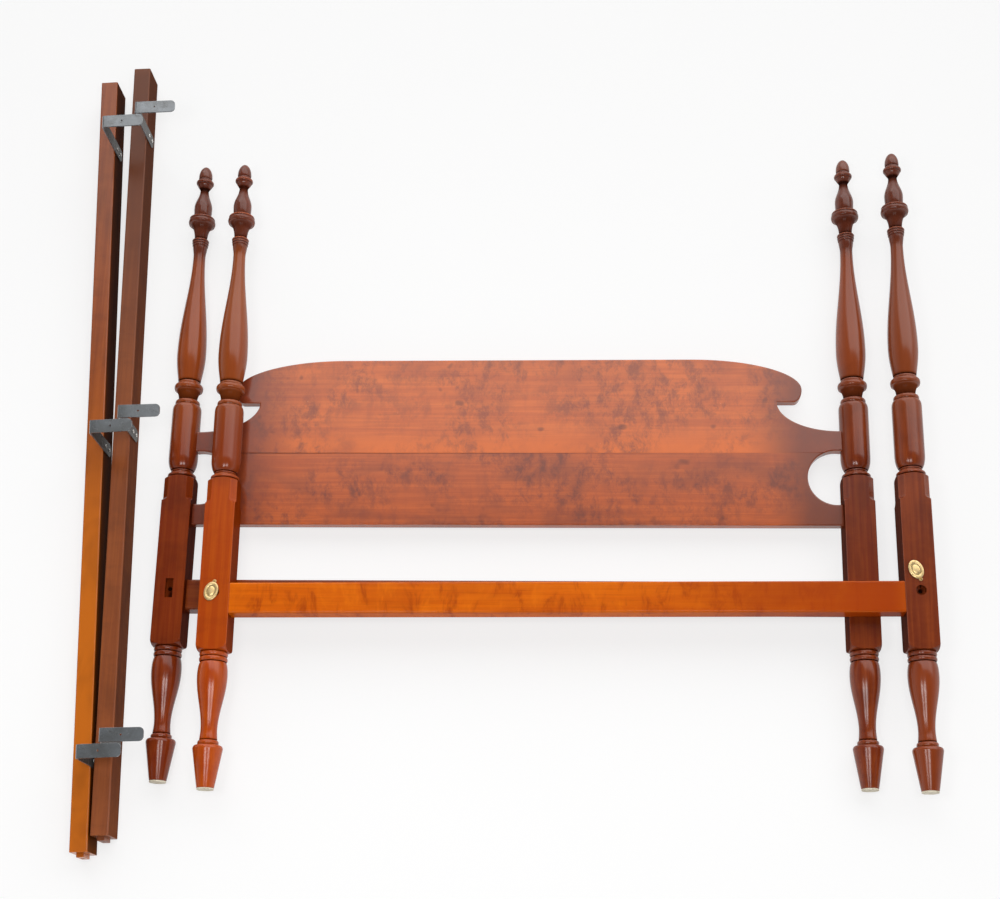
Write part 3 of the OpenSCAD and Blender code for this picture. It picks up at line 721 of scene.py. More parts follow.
BRACKET_STEEL = MetalFinish(
    "bracket_steel", (0.180, 0.195, 0.210), (0.120, 0.127, 0.130), (0.050, 0.045, 0.038), 0.45, 0.22, 12.0,
    (60.0, 700.0, 60.0), 0.04, 1.0,
)
SCREW_STEEL = MetalFinish(
    "screw_steel", (0.80, 0.79, 0.76), (0.55, 0.54, 0.50), (0.10, 0.09, 0.08), 1.0, 0.25, 300.0,
)
NUT_STEEL = MetalFinish(
    "nut_steel", (0.42, 0.42, 0.41), (0.24, 0.23, 0.22), (0.09, 0.07, 0.05), 0.9, 0.45, 120.0,
)
TOE_FELT = FeltFinish("toe_felt", (0.72, 0.66, 0.52), (0.48, 0.40, 0.28))
STUDIO_FLOOR = FloorFinish("studio_floor", (0.94, 0.94, 0.937), 0.72)


# ---------------------------------------------------------------- outlines


def even(share: float) -> float:
    """Gives a share that grows evenly."""
    return share


def early(share: float) -> float:
    """Gives a share that grows fast at first and then levels off."""
    return math.sin(QUARTER * share)


def late(share: float) -> float:
    """Gives a share that grows slowly at first and then fast."""
    return 1 - math.cos(QUARTER * share)


def smooth(share: float) -> float:
    """Gives a share that grows slowly at both ends."""
    return (1 - math.cos(math.pi * share)) / 2


def curve(
    start: Station, end: Station, steps: int, across: Callable[[float], float],
    along: Callable[[float], float] = even,
) -> list[Station]:
    """Gives a curve from one radius and height, or X and Y, to another.

    Args:
        start: Radius and height at the start.
        end: Radius and height at the end.
        steps: Number of steps.
        across: How the radius changes.
        along: How the height changes.

    Returns:
        Stations of radius and height.
    """
    (r0, y0), (r1, y1) = start, end
    shares = [i / steps for i in range(steps + 1)]
    return [(r0 + (r1 - r0) * across(share), y0 + (y1 - y0) * along(share)) for share in shares]


def bead(low: float, height: float, core: float, full: float) -> list[Station]:
    """Gives a half-round bead.

    Args:
        low: Height where it starts.
        height: Height of the bead.
        core: Radius at its two ends.
        full: Radius at its middle.

    Returns:
        Stations of radius and height.
    """
    return curve((core, low), (full, low + height), 12, lambda share: math.sin(math.pi * share), smooth)


def thinned(stations: list[Station]) -> list[Station]:
    """Drops stations that lie on the one before.

    Args:
        stations: Stations of radius and height.

    Returns:
        The stations that are left.
    """
    kept = stations[:1]
    for station in stations[1:]:
        if math.dist(kept[-1], station) > LEAST_STEP:
            kept.append(station)
    return kept


def stand_out(stations: list[Station], reach: float) -> list[float]:
    """Gives how far each station stands out of its neighbours.

    Args:
        stations: Stations of radius and height.
        reach: Distance over which neighbours count.

    Returns:
        One distance in millimetres for each station, below zero in a groove.
    """
    lengths = [0.0]
    for a, b in zip(stations, stations[1:]):
        lengths.append(lengths[-1] + math.dist(a, b))
    result = []
    for here, (radius, _) in zip(lengths, stations):
        total = weight = 0.0
        for k, (r, _) in enumerate(stations):
            near = 1 - abs(lengths[k] - here) / reach
            if near > 0:
                span = (lengths[min(k + 1, len(lengths) - 1)] - lengths[max(k - 1, 0)]) / 2
                total += r * near * span
                weight += near * span
        result.append(radius - total / weight if weight else 0.0)
    return result


def wear_along(stations: list[Station]) -> list[float]:
    """Gives each station's wear and painted shade, from 0, painted shade in a groove, to 1, a worn edge with
    a painted highlight, and 0.5 on a plain stretch.

    Args:
        stations: Stations of radius and height.

    Returns:
        One value of wear and painted shade for each station.
    """
    fine, wide = stand_out(stations, FINE_REACH), stand_out(stations, WIDE_REACH)
    return [
        min(1.0, max(LEAST_WEAR, PLAIN_WEAR + FINE_WEAR * near + WIDE_WEAR * min(far, 0.0)))
        for near, far in zip(fine, wide)
    ]


# ---------------------------------------------------------------- places and meshes


@dataclass(frozen=True)
class Place:
    """Where a board or a rail lies: its own origin in metres and its turn about the vertical."""

    x: float
    y: float
    z: float
    turn: float

    def matrix(self) -> Matrix:
        """Gives the move from the board's own frame to the bed's."""
        return Matrix.Translation((self.x, self.y, self.z)) @ Matrix.Rotation(self.turn, 4, "Z")


def mount_point(name: str) -> Vector:
    """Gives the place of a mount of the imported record.

    Args:
        name: Name of the mount.

    Returns:
        Its place in metres.
    """
    mounts = {mount["name"]: mount for mount in frame["record"]["mounts"]}
    return Vector(mounts[name]["pos_m"])


def board_place(board: str, half_block: float) -> Place:
    """Finds how a board lies from the toes of its two posts.

    Args:
        board: First word of the two mounts' names.
        half_block: Height of a post's axis above the board's underside, in metres.

    Returns:
        The place of the middle between the toes.
    """
    left, right = mount_point(board + "_left_toe"), mount_point(board + "_right_toe")
    middle, run = (left + right) / 2, right - left
    return Place(middle.x, middle.y, middle.z - half_block, math.atan2(run.y, run.x))


def rail_place(side: Side, length: float, axis_height: float) -> Place:
    """Finds how a side rail lies from the bolt bores in its two ends.

    Args:
        side: Which side rail.
        length: Length between its shoulders, in metres.
        axis_height: Height of the bores above the floor, in metres.

    Returns:
        The place of the rail's foot shoulder.
    """
    foot = mount_point(side.value + "_rail_foot_bolt_bore")
    head = mount_point(side.value + "_rail_head_bolt_bore")
    run = (head - foot).normalized()
    start = (foot + head) / 2 - run * (length / 2)
    return Place(start.x, start.y, start.z - axis_height, math.atan2(-run.x, run.y))


def smoothed(mesh: Mesh, sharp_angle: float) -> None:
    """Smooths a mesh but for its sharp edges and those between a wide face and a narrow one.

    Args:
        mesh: Mesh to change.
        sharp_angle: Angle in degrees.
    """
    bm = bmesh.new()
    bm.from_mesh(mesh)
    for face in bm.faces:
        face.smooth = True
    limit, slight = math.radians(sharp_angle), math.radians(SLIGHT_ANGLE)
    for edge in bm.edges:
        if len(edge.link_faces) == 2:
            small, large = sorted(face.calc_area() for face in edge.link_faces)
            angle = edge.calc_face_angle(0.0)
            edge.smooth = angle <= limit and (angle <= slight or large < NARROW_SHARE * small)
    bm.to_mesh(mesh)
    bm.free()


def ended(bm: bmesh.types.BMesh, name: str) -> Mesh:
    """Turns faces outwards and ends the working mesh.

    Args:
        bm: Working mesh in metres.
        name: Name of the result.

    Returns:
        The mesh.
    """
    bmesh.ops.recalc_face_normals(bm, faces=bm.faces)
    mesh = bpy.data.meshes.new(name)
    bm.to_mesh(mesh)
    bm.free()
    return mesh


def closed_mesh(bm: bmesh.types.BMesh, name: str) -> Mesh:
    """Merges doubles and ends the working mesh.

    Args:
        bm: Working mesh in metres.
        name: Name of the result.

    Returns:
        The mesh.
    """
    bmesh.ops.remove_doubles(bm, verts=bm.verts, dist=MERGED)
    bmesh.ops.dissolve_degenerate(bm, edges=bm.edges, dist=1e-7)
    return ended(bm, name)


def joined(meshes: list[Mesh], name: str) -> Mesh:
    """Puts meshes into one.

    Args:
        meshes: The meshes.
        name: Name of the result.

    Returns:
        A new mesh with all of them.
    """
    bm = bmesh.new()
    for mesh in meshes:
        bm.from_mesh(mesh)
    return ended(bm, name)


def band(bm: bmesh.types.BMesh, low: list[Vertex], high: list[Vertex]) -> None:
    """Joins two rings of as many vertices with faces.

    Args:
        bm: Working mesh.
        low: First ring.
        high: Second ring.
    """
    for j in range(len(low)):
        k = (j + 1) % len(low)
        bm.faces.new((low[j], low[k], high[k], high[j]))


def skin(bm: bmesh.types.BMesh, rings: list[list[Vector]], wears: list[list[float]]) -> list[list[Vertex]]:
    """Joins rings of as many points each into an open skin.

    Args:
        bm: Working mesh.
        rings: Rings of points in millimetres.
        wears: Wear and painted shade of each point.

    Returns:
        The vertices of the first and the last ring.
    """
    layer = bm.verts.layers.float.new("wear")
    rows = []
    for ring, wear in zip(rings, wears):
        row = [bm.verts.new(point * MM) for point in ring]
        for vertex, amount in zip(row, wear):
            vertex[layer] = amount
        rows.append(row)
    for low, high in zip(rows, rows[1:]):
        band(bm, low, high)
    return [rows[0], rows[-1]]


def loft(rings: list[list[Vector]], wears: list[list[float]], name: str) -> Mesh:
    """Joins rings of as many points each into one closed skin.

    Args:
        rings: Rings of points in millimetres.
        wears: Wear and painted shade of each point.
        name: Name of the mesh.

    Returns:
        The mesh in metres.
    """
    bm = bmesh.new()
    for row in skin(bm, rings, wears):
        if (row[0].co - row[len(row) // 2].co).length > 1e-6:
            bm.faces.new(row)
    return closed_mesh(bm, name)


def as_object(name: str, data: bpy.types.ID) -> bpy.types.Object:
    """Puts a mesh, a lamp or a camera into the scene.

    Args:
        name: Name of the object.
        data: What it holds.

    Returns:
        The object.
    """
    obj = bpy.data.objects.new(name, data)
    bpy.context.scene.collection.objects.link(obj)
    return obj


def cut(mesh: Mesh, cutters: list[Mesh]) -> Mesh:
    """Cuts shapes out of a mesh and gives the new points their wear and painted shade, with painted shade on
    the walls inside the cut.

    Args:
        mesh: Mesh to cut.
        cutters: Closed meshes to take away.

    Returns:
        A new mesh.
    """
    base = as_object("cut_base", mesh)
    surface = BVHTree.FromPolygons([v.co for v in mesh.vertices], [list(p.vertices) for p in mesh.polygons])
    tools = [as_object("cut_tool_%d" % number, cutter) for number, cutter in enumerate(cutters)]
    for tool in tools:
        modifier = base.modifiers.new("cut", "BOOLEAN")
        modifier.operation = "DIFFERENCE"
        modifier.solver = "EXACT"
        modifier.object = tool
    result = evaluated_mesh(base, mesh.name + "_cut")
    for obj in [base, *tools]:
        bpy.data.objects.remove(obj)
    # New points deep in the piece get painted shade; those on its surface take the value of the face they lie
    # on.
    given = mesh.attributes["wear"].data
    for item, vertex in zip(result.attributes["wear"].data, result.vertices):
        if item.value < LEAST_WEAR / 2:
            _, _, face, deep = surface.find_nearest(vertex.co)
            around = [given[corner].value for corner in mesh.polygons[face].vertices]
            item.value = DEEP_WEAR if deep > SURFACE_DEPTH else sum(around) / len(around)
    return result


def evaluated_mesh(obj: bpy.types.Object, name: str) -> Mesh:
    """Gives an object's mesh after its modifiers.

    Args:
        obj: Object with modifiers.
        name: Name of the result.

    Returns:
        A new mesh.
    """
    graph = bpy.context.evaluated_depsgraph_get()
    mesh = bpy.data.meshes.new_from_object(obj.evaluated_get(graph), depsgraph=graph)
    mesh.name = name
    return mesh


def rod(radius: float, length: float, matrix: Matrix, sides: int = 40) -> Mesh:
    """Makes a round cutter from its base along Z.

    Args:
        radius: Radius in millimetres.
        length: Length in millimetres.
        matrix: Move in millimetres.
        sides: Number of sides.

    Returns:
        The mesh in metres.
    """
    bm = bmesh.new()
    bmesh.ops.create_cone(
        bm, cap_ends=True, segments=sides, radius1=radius * MM, radius2=radius * MM, depth=length * MM,
        matrix=scaled(matrix @ moved(0, 0, length / 2)),
    )
    return closed_mesh(bm, "rod")


def brick(low: Colour, high: Colour, matrix: Matrix = Matrix()) -> Mesh:
    """Makes a square-edged cutter.

    Args:
        low: Lowest corner in millimetres.
        high: Highest corner in millimetres.
        matrix: Move in millimetres.

    Returns:
        The mesh in metres.
    """
    bm = bmesh.new()
    middle, size = (Vector(low) + Vector(high)) / 2, (Vector(high) - Vector(low)) * MM
    bmesh.ops.create_cube(
        bm, size=1.0, matrix=scaled(matrix @ moved(*middle)) @ Matrix.Diagonal((*size, 1.0))
    )
    return closed_mesh(bm, "brick")


def scaled(matrix: Matrix) -> Matrix:
    """Turns a move in millimetres into one in metres.

    Args:
        matrix: Move in millimetres.

    Returns:
        The same move in metres.
    """
    result = matrix.copy()
    result.translation = matrix.translation * MM
    return result


def moved(x: float, y: float, z: float) -> Matrix:
    """Gives a move without a turn."""
    return Matrix.Translation((x, y, z))


# ---------------------------------------------------------------- workshop


class Workshop:
    """Holds the finishes and the two shape trees, and sets finished pieces on their bodies."""

    def __init__(self) -> None:
        """Builds the shape trees."""
        self.turning = turning_tree()
        self.repeating = repeating_tree()
        self.materials: dict[str, bpy.types.Material] = {}

    def material(self, finish: Finish) -> bpy.types.Material:
        """Gives a finish's material, built once.

        Args:
            finish: The finish.

        Returns:
            Its material.
        """
        if finish.name not in self.materials:
            self.materials[finish.name] = finish.make()
        return self.materials[finish.name]

    def turned(self, stations: list[Station], sides: int, finish: Finish, name: str) -> Mesh:
        """Turns an outline about the vertical.

        Args:
            stations: Radius and height in millimetres, from the axis to the axis.
            sides: Number of sides.
            finish: Finish of the piece.
            name: Name of the mesh.

        Returns:
            The mesh in metres.
        """
        line = bpy.data.meshes.new(name + "_outline")
        points = [(radius * MM, 0.0, height * MM) for radius, height in stations]
        line.from_pydata(points, [(i, i + 1) for i in range(len(points) - 1)], [])
        wear = line.attributes.new("wear", "FLOAT", "POINT")
        for item, amount in zip(wear.data, wear_along(stations)):
            item.value = amount
        values = {"Sides": sides, "Finish": self.material(finish)}
        return joined([self.turning.run(line, values, name)], name)

    def repeated(
        self, piece: Mesh, points: list[Colour], finish: Finish, name: str, spin: float = 0.0, seed: int = 1
    ) -> Mesh:
        """Sets copies of a piece on points.

        Args:
            piece: Mesh of one piece.
            points: Places in millimetres.
            finish: Finish of the copies.
            name: Name of the mesh.
            spin: Largest spin about X in radians.
            seed: Seed of the spins.

        Returns:
            The mesh in metres.
        """
        cloud = bpy.data.meshes.new(name + "_points")
        cloud.from_pydata([tuple(Vector(point) * MM) for point in points], [], [])
        pattern = as_object(name + "_pattern", piece)
        values = {"Piece": pattern, "Spin": spin, "Seed": seed, "Finish": self.material(finish)}
        mesh = self.repeating.run(cloud, values, name)
        bpy.data.objects.remove(pattern)
        return mesh

    def set_piece(
        self, name: str, mesh: Mesh, finish: Finish, body: str, slot: str, nodes: tuple[str, ...],
        place: Matrix, sharp_angle: float = 32.0,
    ) -> None:
        """Puts a finished piece on its body in place of its solids.

        Args:
            name: Name of the piece.
            mesh: Its mesh in metres.
            finish: Its finish.
            body: Body that it rides on.
            slot: Material slot of the record; not used.
            nodes: Solids that it stands for.
            place: Move to where it lies.
            sharp_angle: Angle in degrees from which an edge stays sharp.
        """
        mesh.transform(place)
        smoothed(mesh, sharp_angle)
        mesh.materials.clear()
        mesh.materials.append(self.material(finish))
        piece = as_object(name, mesh)
        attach(piece, body)
        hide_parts(*nodes)
        LOG.info("%s: %d faces on %s", name, len(mesh.polygons), body)


# ---------------------------------------------------------------- posts


@dataclass(frozen=True)
class PostSizes:
    """Sizes of a post and its finial."""

    block_w: float = 71.0
    pad_t: float = 4.0
    toe_r: float = 20.0
    foot_r: float = 34.5
    foot_h: float = 97.0
    foot_round_h: float = 8.0
    ankle_ring_h: float = 12.0
    ankle_ring_r: float = 24.5
    ankle_r: float = 19.0
    ankle_h: float = 24.0
    vase_r: float = 35.0
    vase_h: float = 127.0
    vase_round_h: float = 32.0
    throat_r: float = 29.0
    ring_r: float = 33.0
    ring_h: float = 12.0
    block_h: float = 356.0
    block_turn_h: float = 17.0
    shoulder_h: float = 67.0
    dome_h: float = 36.0
    chamfer: float = 13.5
    stop_r: float = 12.0
    shoulder_ring_r: float = 34.0
    shoulder_ring_h: float = 7.5
    neck_r: float = 24.5
    bead_r: float = 28.0
    bead_h: float = 5.0
    sleeve_r: float = 35.0
    sleeve_h: float = 170.0
    sleeve_low_round: float = 34.0
    sleeve_top_round: float = 16.0
    sleeve_ring_r: float = 30.0
    sleeve_ring_h: float = 12.0
    collar_neck_r: float = 22.0
    collar_neck_h: float = 29.0
    collar_r: float = 35.0
    collar_h: float = 13.0
    collar_ring_h: float = 8.0
    column_base_r: float = 26.5
    belly_r: float = 35.3
    belly_h: float = 77.0
    waist_r: float = 15.0
    waist_h: float = 269.0
    flare_h: float = 27.0
    capital_bead_r: float = 21.0
    capital_bead_h: float = 18.0
    capital_r: float = 33.5
    capital_neck_r: float = 15.5
    bowl_h: float = 43.0
    rim_h: float = 12.0
    crown_h: float = 10.0
    urn_r: float = 22.5
    urn_h: float = 75.0
    finial_neck_r: float = 10.5
    finial_disc_r: float = 22.0
    finial_disc_h: float = 9.0
    finial_cup_h: float = 27.0
    cap_r: float = 17.0
    cap_h: float = 42.0
    dowel_r: float = 8.0
    dowel_len: float = 34.0
    quirk: float = 1.5
    edge_ease: float = 0.9
    bolt_up: float = 457.0
    bolt_r: float = 5.0
    counterbore_r: float = 12.0
    counterbore_in: float = 12.0
    mortise_w: float = 18.0
    mortise_h: float = 47.0
    mortise_in: float = 12.0
    joint_gap: float = 0.3

    @property
    def rim_y(self) -> float:
        """Height of the foot's rim."""
        return self.pad_t + self.foot_h

    @property
    def ankle_y(self) -> float:
        """Height of the ankle."""
        return self.rim_y + self.ankle_ring_h + self.ankle_h

    @property
    def vase_y(self) -> float:
        """Height of the vase's fullest part."""
        return self.ankle_y + self.vase_h

    @property
    def throat_y(self) -> float:
        """Height of the throat above the vase."""
        return self.vase_y + self.vase_round_h

    @property
    def block_low(self) -> float:
        """Height of the block's lower end."""
        return self.throat_y + 2 * self.ring_h

    @property
    def block_top(self) -> float:
        """Height where the chamfers start."""
        return self.block_low + self.block_h

    @property
    def shoulder_y(self) -> float:
        """Height of the shoulder's top."""
        return self.block_top + self.shoulder_h

    @property
    def column_y(self) -> float:
        """Height of the column's base.

        Returns:
            The height in millimetres.
        """
        return (
            self.shoulder_y + self.shoulder_ring_h + 2 * self.bead_h + self.sleeve_h + self.sleeve_ring_h
            + self.collar_neck_h + self.collar_h + self.collar_ring_h
        )

    @property
    def capital_y(self) -> float:
        """Height of the capital's beads."""
        return self.column_y + self.belly_h + self.waist_h + self.flare_h

    @property
    def finial_y(self) -> float:
        """Height of the finial's seat."""
        return self.capital_y + self.capital_bead_h + self.bowl_h + self.rim_h + self.crown_h

    @property
    def post_h(self) -> float:
        """Height of the finial's tip."""
        return self.finial_y + self.urn_h + self.finial_cup_h + self.cap_h


SIZES = PostSizes()
INNER_HALF = POST_SPACING / 2 - SIZES.block_w / 2


class TurnedPost:
    """A post with a turned foot, a square block, a sleeve, a column and a capital, and its finial."""

    SIDE_STEPS, ARC_STEPS, FLAT_STEPS = 2, 8, 1
    LEAST_FLAT = 2.0
    NARROW_FLAT = 0.03
    SQUARE_FROM = 1.2
    # Block faces: slight painted shade and a thinner coat; side faces: painted shade; eased edges: wear with
    # a painted highlight.
    BLOCK_WEAR, SIDE_WEAR, EDGE_WEAR = 0.42, 0.33, 0.8
    OVER = 1.0
    FINIAL_SIDES, PAD_SIDES = 64, 48

    def __init__(self, shop: Workshop, board: str, side: Side, face: Face, finish: WoodFinish) -> None:
        """Keeps what the post is made from.

        Args:
            shop: Workshop with the finishes.
            board: Name of its board, head or foot.
            side: Side of the board.
            face: Face that looks up.
            finish: Finish of the post and its finial.
        """
        self.shop = shop
        self.board = board
        self.side = side
        self.face = face
        self.finish = finish
        self.sizes = SIZES

    def angles(self, round_r: float, corner_r: float) -> list[float]:
        """Gives the angles of an eighth of a section, with its corners on them.

        Args:
            round_r: Radius of the turned part.
            corner_r: Distance of the corner's flat from the axis.

        Returns:
            Angles in radians, from the middle of a side to a corner.
        """
        half = self.sizes.block_w / 2
        side_end = math.acos(half / round_r) if round_r > half else 0.0
        flat_start = EIGHTH - (math.acos(corner_r / round_r) if round_r > corner_r else 0.0)
        if side_end > flat_start:
            edge = corner_r * math.sqrt(2) - half
            side_end, flat_start = math.atan2(edge - self.LEAST_FLAT, half), math.atan2(edge, half)
        runs = (
            (0.0, side_end, self.SIDE_STEPS), (side_end, flat_start, self.ARC_STEPS),
            (flat_start, EIGHTH, self.FLAT_STEPS),
        )
        return [low + (high - low) * i / steps for low, high, steps in runs for i in range(steps)] + [EIGHTH]

    def ring(
        self, height: float, round_r: float, corner_r: float, wear: float, side_wear: Optional[float] = None
    ) -> tuple[list[Vector], list[float]]:
        """Gives one section of the post, round, square or in between.

        Args:
            height: Height along the post.
            round_r: Radius of the turned part.
            corner_r: Distance of the corner's flat from the axis.
            wear: Wear and painted shade of the section.
            side_wear: Painted shade of its two side faces, where it differs.

        Returns:
            Its points and their wear and painted shade.
        """
        half = self.sizes.block_w / 2
        eighth = self.angles(max(round_r, 1e-6), corner_r)
        edge_turn = EIGHTH - eighth[-2]
        points, wears = [], []
        for k in range(4):
            for angle in eighth + [QUARTER - angle for angle in reversed(eighth[1:-1])]:
                reach = min(
                    round_r, half / max(math.cos(angle), math.sin(angle)),
                    corner_r / math.cos(EIGHTH - angle),
                )
                turn = angle + QUARTER * k
                points.append(Vector((reach * math.cos(turn), height, half + reach * math.sin(turn))))
                # Eased block edges get wear with a painted highlight, and the block's side faces get painted
                # shade.
                off = abs(angle - EIGHTH)
                on_edge = round_r > half * self.SQUARE_FROM and (
                    abs(off - edge_turn) < 1e-6 or off < edge_turn < self.NARROW_FLAT
                )
                beside = side_wear is not None and abs(points[-1].x) > half - 0.01
                wears.append(max(wear, self.EDGE_WEAR) if on_edge else side_wear if beside else wear)
        return points, wears

    def leg_outline(self) -> list[Station]:
        """Gives the foot, ankle, vase and rings under the block.

        Returns:
            Stations of radius and height.
        """
        s = self.sizes
        q = s.quirk
        return [
            (0.0, s.pad_t), (s.toe_r - 1.2, s.pad_t), (s.toe_r, s.pad_t + 1.2),
            *[(s.toe_r + (s.foot_r - s.toe_r) * i / 8, s.pad_t + (s.foot_h - s.foot_round_h) * i / 8)
              for i in range(1, 8)],
            *curve((s.foot_r, s.rim_y - s.foot_round_h), (s.foot_r - 3 * q, s.rim_y), 10, late, early),
            *bead(s.rim_y, s.ankle_ring_h, s.ankle_r + q, s.ankle_ring_r),
            *curve((s.ankle_r + q, s.rim_y + s.ankle_ring_h + q), (s.ankle_r, s.ankle_y), 8, smooth),
            *curve((s.ankle_r, s.ankle_y), (s.vase_r, s.vase_y), 40, smooth),
            *curve((s.vase_r, s.vase_y), (s.throat_r, s.throat_y), 18, late, early),
            *bead(s.throat_y, s.ring_h, s.throat_r, s.ring_r),
            *bead(s.throat_y + s.ring_h, s.ring_h, s.throat_r, s.ring_r),
        ]

    def block_sections(self) -> list[tuple[float, float, float]]:
        """Gives the block's sections as height, turned radius and corner distance.

        Returns:
            The sections, from the block's lower end to the top of its shoulder.
        """
        s = self.sizes
        corner = s.block_w / math.sqrt(2)
        eased = corner - s.edge_ease
        flat = corner - s.chamfer / math.sqrt(2)
        sections = [
            (height, radius, eased)
            for radius, height in curve(
                (s.throat_r, s.block_low), (corner, s.block_low + s.block_turn_h), 20, early, late
            )
        ]
        full = corner + 1
        sections += [
            (s.block_low + s.block_turn_h + (s.block_h - s.block_turn_h) * i / 12, full, eased)
            for i in range(1, 13)
        ]
        drop = corner - flat
        run = math.sqrt(s.stop_r ** 2 - (s.stop_r - drop) ** 2)
        for i in range(1, 11):
            up = run * i / 10
            into = s.stop_r - math.sqrt(s.stop_r ** 2 - (run - up) ** 2)
            sections.append((s.block_top + up, full, min(eased, flat + into)))
        dome_low = s.shoulder_y - s.dome_h
        sections += [
            (height, radius, flat)
            for radius, height in curve(
                (full, dome_low), (s.neck_r + s.quirk, s.shoulder_y), 24, late, early
            )
        ]
        return sections

    def upper_outline(self) -> list[Station]:
        """Gives the rings, sleeve, collar, column and capital above the block.

        Returns:
            Stations of radius and height.
        """
        s = self.sizes
        q = s.quirk
        beads_y = s.shoulder_y + s.shoulder_ring_h
        sleeve_low = beads_y + 2 * s.bead_h
        sleeve_top = sleeve_low + s.sleeve_h
        neck_y = sleeve_top + s.sleeve_ring_h
        collar_y = neck_y + s.collar_neck_h
        belly_y = s.column_y + s.belly_h
        waist_y = belly_y + s.waist_h
        bowl_y = s.capital_y + s.capital_bead_h
        disc_y = bowl_y + s.bowl_h
        crown_y = disc_y + s.rim_h
        thin = s.capital_bead_h / 3
        return [
            *bead(s.shoulder_y, s.shoulder_ring_h, s.shoulder_ring_r - 2 * q, s.shoulder_ring_r),
            *bead(beads_y, s.bead_h, s.neck_r, s.bead_r),
            *bead(beads_y + s.bead_h, s.bead_h, s.neck_r, s.bead_r - q),
            *curve((s.neck_r, sleeve_low), (s.sleeve_r, sleeve_low + s.sleeve_low_round), 22, early, late),
            *curve(
                (s.sleeve_r, sleeve_top - s.sleeve_top_round), (s.sleeve_ring_r, sleeve_top), 14, late, early,
            ),
            *bead(sleeve_top, s.sleeve_ring_h, s.sleeve_ring_r - 2 * q, s.sleeve_ring_r),
            *curve((s.collar_neck_r, neck_y), (s.collar_r - q, collar_y), 18, late, early),
            *bead(collar_y, s.collar_h, s.collar_r - 2 * q, s.collar_r),
            *bead(collar_y + s.collar_h, s.collar_ring_h, s.column_base_r, s.column_base_r + q),
            *curve((s.column_base_r, s.column_y), (s.belly_r, belly_y), 26, early),
            *curve((s.belly_r, belly_y), (s.waist_r, waist_y), 60, smooth),
            *curve((s.waist_r, waist_y), (s.waist_r + 2 * q, s.capital_y), 10, smooth),
            *bead(s.capital_y, thin, s.waist_r + 2 * q, s.capital_bead_r - q),
            *bead(s.capital_y + thin, thin, s.waist_r + 2 * q, s.capital_bead_r - q / 3),
            *bead(s.capital_y + 2 * thin, thin, s.waist_r + 2 * q, s.capital_bead_r),
            *curve((s.capital_neck_r, bowl_y), (s.capital_r - q, disc_y), 20, late, early),
            *bead(disc_y, s.rim_h, s.capital_r - 2 * q, s.capital_r),
            *bead(crown_y, s.rim_h / 2, s.capital_r - 3 * q, s.capital_r - q),
            *curve((s.capital_r - 3 * q, crown_y + s.rim_h / 2), (s.urn_r + q, s.finial_y), 16, smooth),
            (s.dowel_r + s.joint_gap, s.finial_y),
            (s.dowel_r + s.joint_gap, s.finial_y - s.dowel_len - s.joint_gap),
            (0.0, s.finial_y - s.dowel_len - s.joint_gap),
        ]

    def finial_outline(self) -> list[Station]:
        """Gives the finial with its dowel.

        Returns:
            Stations of radius and height.
        """
        s = self.sizes
        q = s.quirk
        edge_y = s.finial_y + s.urn_h / 3
        neck_y = s.finial_y + s.urn_h
        cap_y = neck_y + s.finial_cup_h
        disc_y = cap_y - s.finial_disc_h
        ring = s.cap_h / 7
        return [
            (0.0, s.finial_y - s.dowel_len), (s.dowel_r, s.finial_y - s.dowel_len), (s.dowel_r, s.finial_y),
            *curve((s.urn_r - 2 * q, s.finial_y), (s.urn_r, edge_y), 16, early, late),
            *curve((s.urn_r, edge_y), (s.finial_neck_r, neck_y), 32, smooth),
            *curve((s.finial_neck_r, neck_y), (s.finial_disc_r - 2 * q, disc_y), 16, smooth),
            *bead(disc_y, s.finial_disc_h, s.finial_disc_r - 2 * q, s.finial_disc_r),
            *bead(cap_y, ring, s.cap_r - q, s.cap_r - q / 3),
            *curve((s.cap_r - q, cap_y + ring), (s.cap_r, cap_y + 2 * ring), 6, early, late),
            *curve((s.cap_r, cap_y + 2 * ring), (0.0, s.post_h), 20, late, early),
        ]

    def cutters(self) -> list[Mesh]:
        """Makes the cutters for the bolt's bore and counterbore and the side rail's mortise.

        Returns:
            Closed meshes in metres.
        """
        s = self.sizes
        half = s.block_w / 2
        flip = Matrix.Rotation(math.pi, 4, "Y") if self.face is Face.INNER_UP else Matrix()
        here = moved(0, s.bolt_up, half) @ flip
        return [
            rod(s.bolt_r, s.block_w + 2 * self.OVER, here @ moved(0, 0, -half - self.OVER)),
            rod(s.counterbore_r, s.counterbore_in + self.OVER, here @ moved(0, 0, half - s.counterbore_in)),
            brick(
                (-s.mortise_w / 2, -s.mortise_h / 2, -half - self.OVER),
                (s.mortise_w / 2, s.mortise_h / 2, -half + s.mortise_in), here,
            ),
        ]

    def mesh(self) -> Mesh:
        """Builds the post's mesh in its own frame, lying along Y on its back.

        Returns:
            The mesh in metres.
        """
        block = [(*section, self.BLOCK_WEAR, self.SIDE_WEAR) for section in self.block_sections()]
        leg, upper = (
            [(height, radius, self.sizes.block_w, wear)
             for (radius, height), wear in zip(stations, wear_along(stations))]
            for stations in (thinned(self.leg_outline()), thinned(self.upper_outline()))
        )
        rings, wears = zip(*(self.ring(*section) for section in (*leg, *block, *upper)))
        return cut(loft(rings, wears, "post"), self.cutters())

    def pad_outline(self) -> list[Station]:
        """Gives the pad under the foot.

        Returns:
            Stations of radius and height.
        """
        radius, thick, soft, dish = self.sizes.toe_r - self.sizes.quirk / 3, self.sizes.pad_t, 0.8, 0.2
        return [
            (0.0, 0.0), (radius - 3, 0.15),
            *curve((radius - soft, dish), (radius, soft + dish), 4, early, late),
            (radius, thick - 0.2), (radius - 0.5, thick), (0.0, thick),
        ]

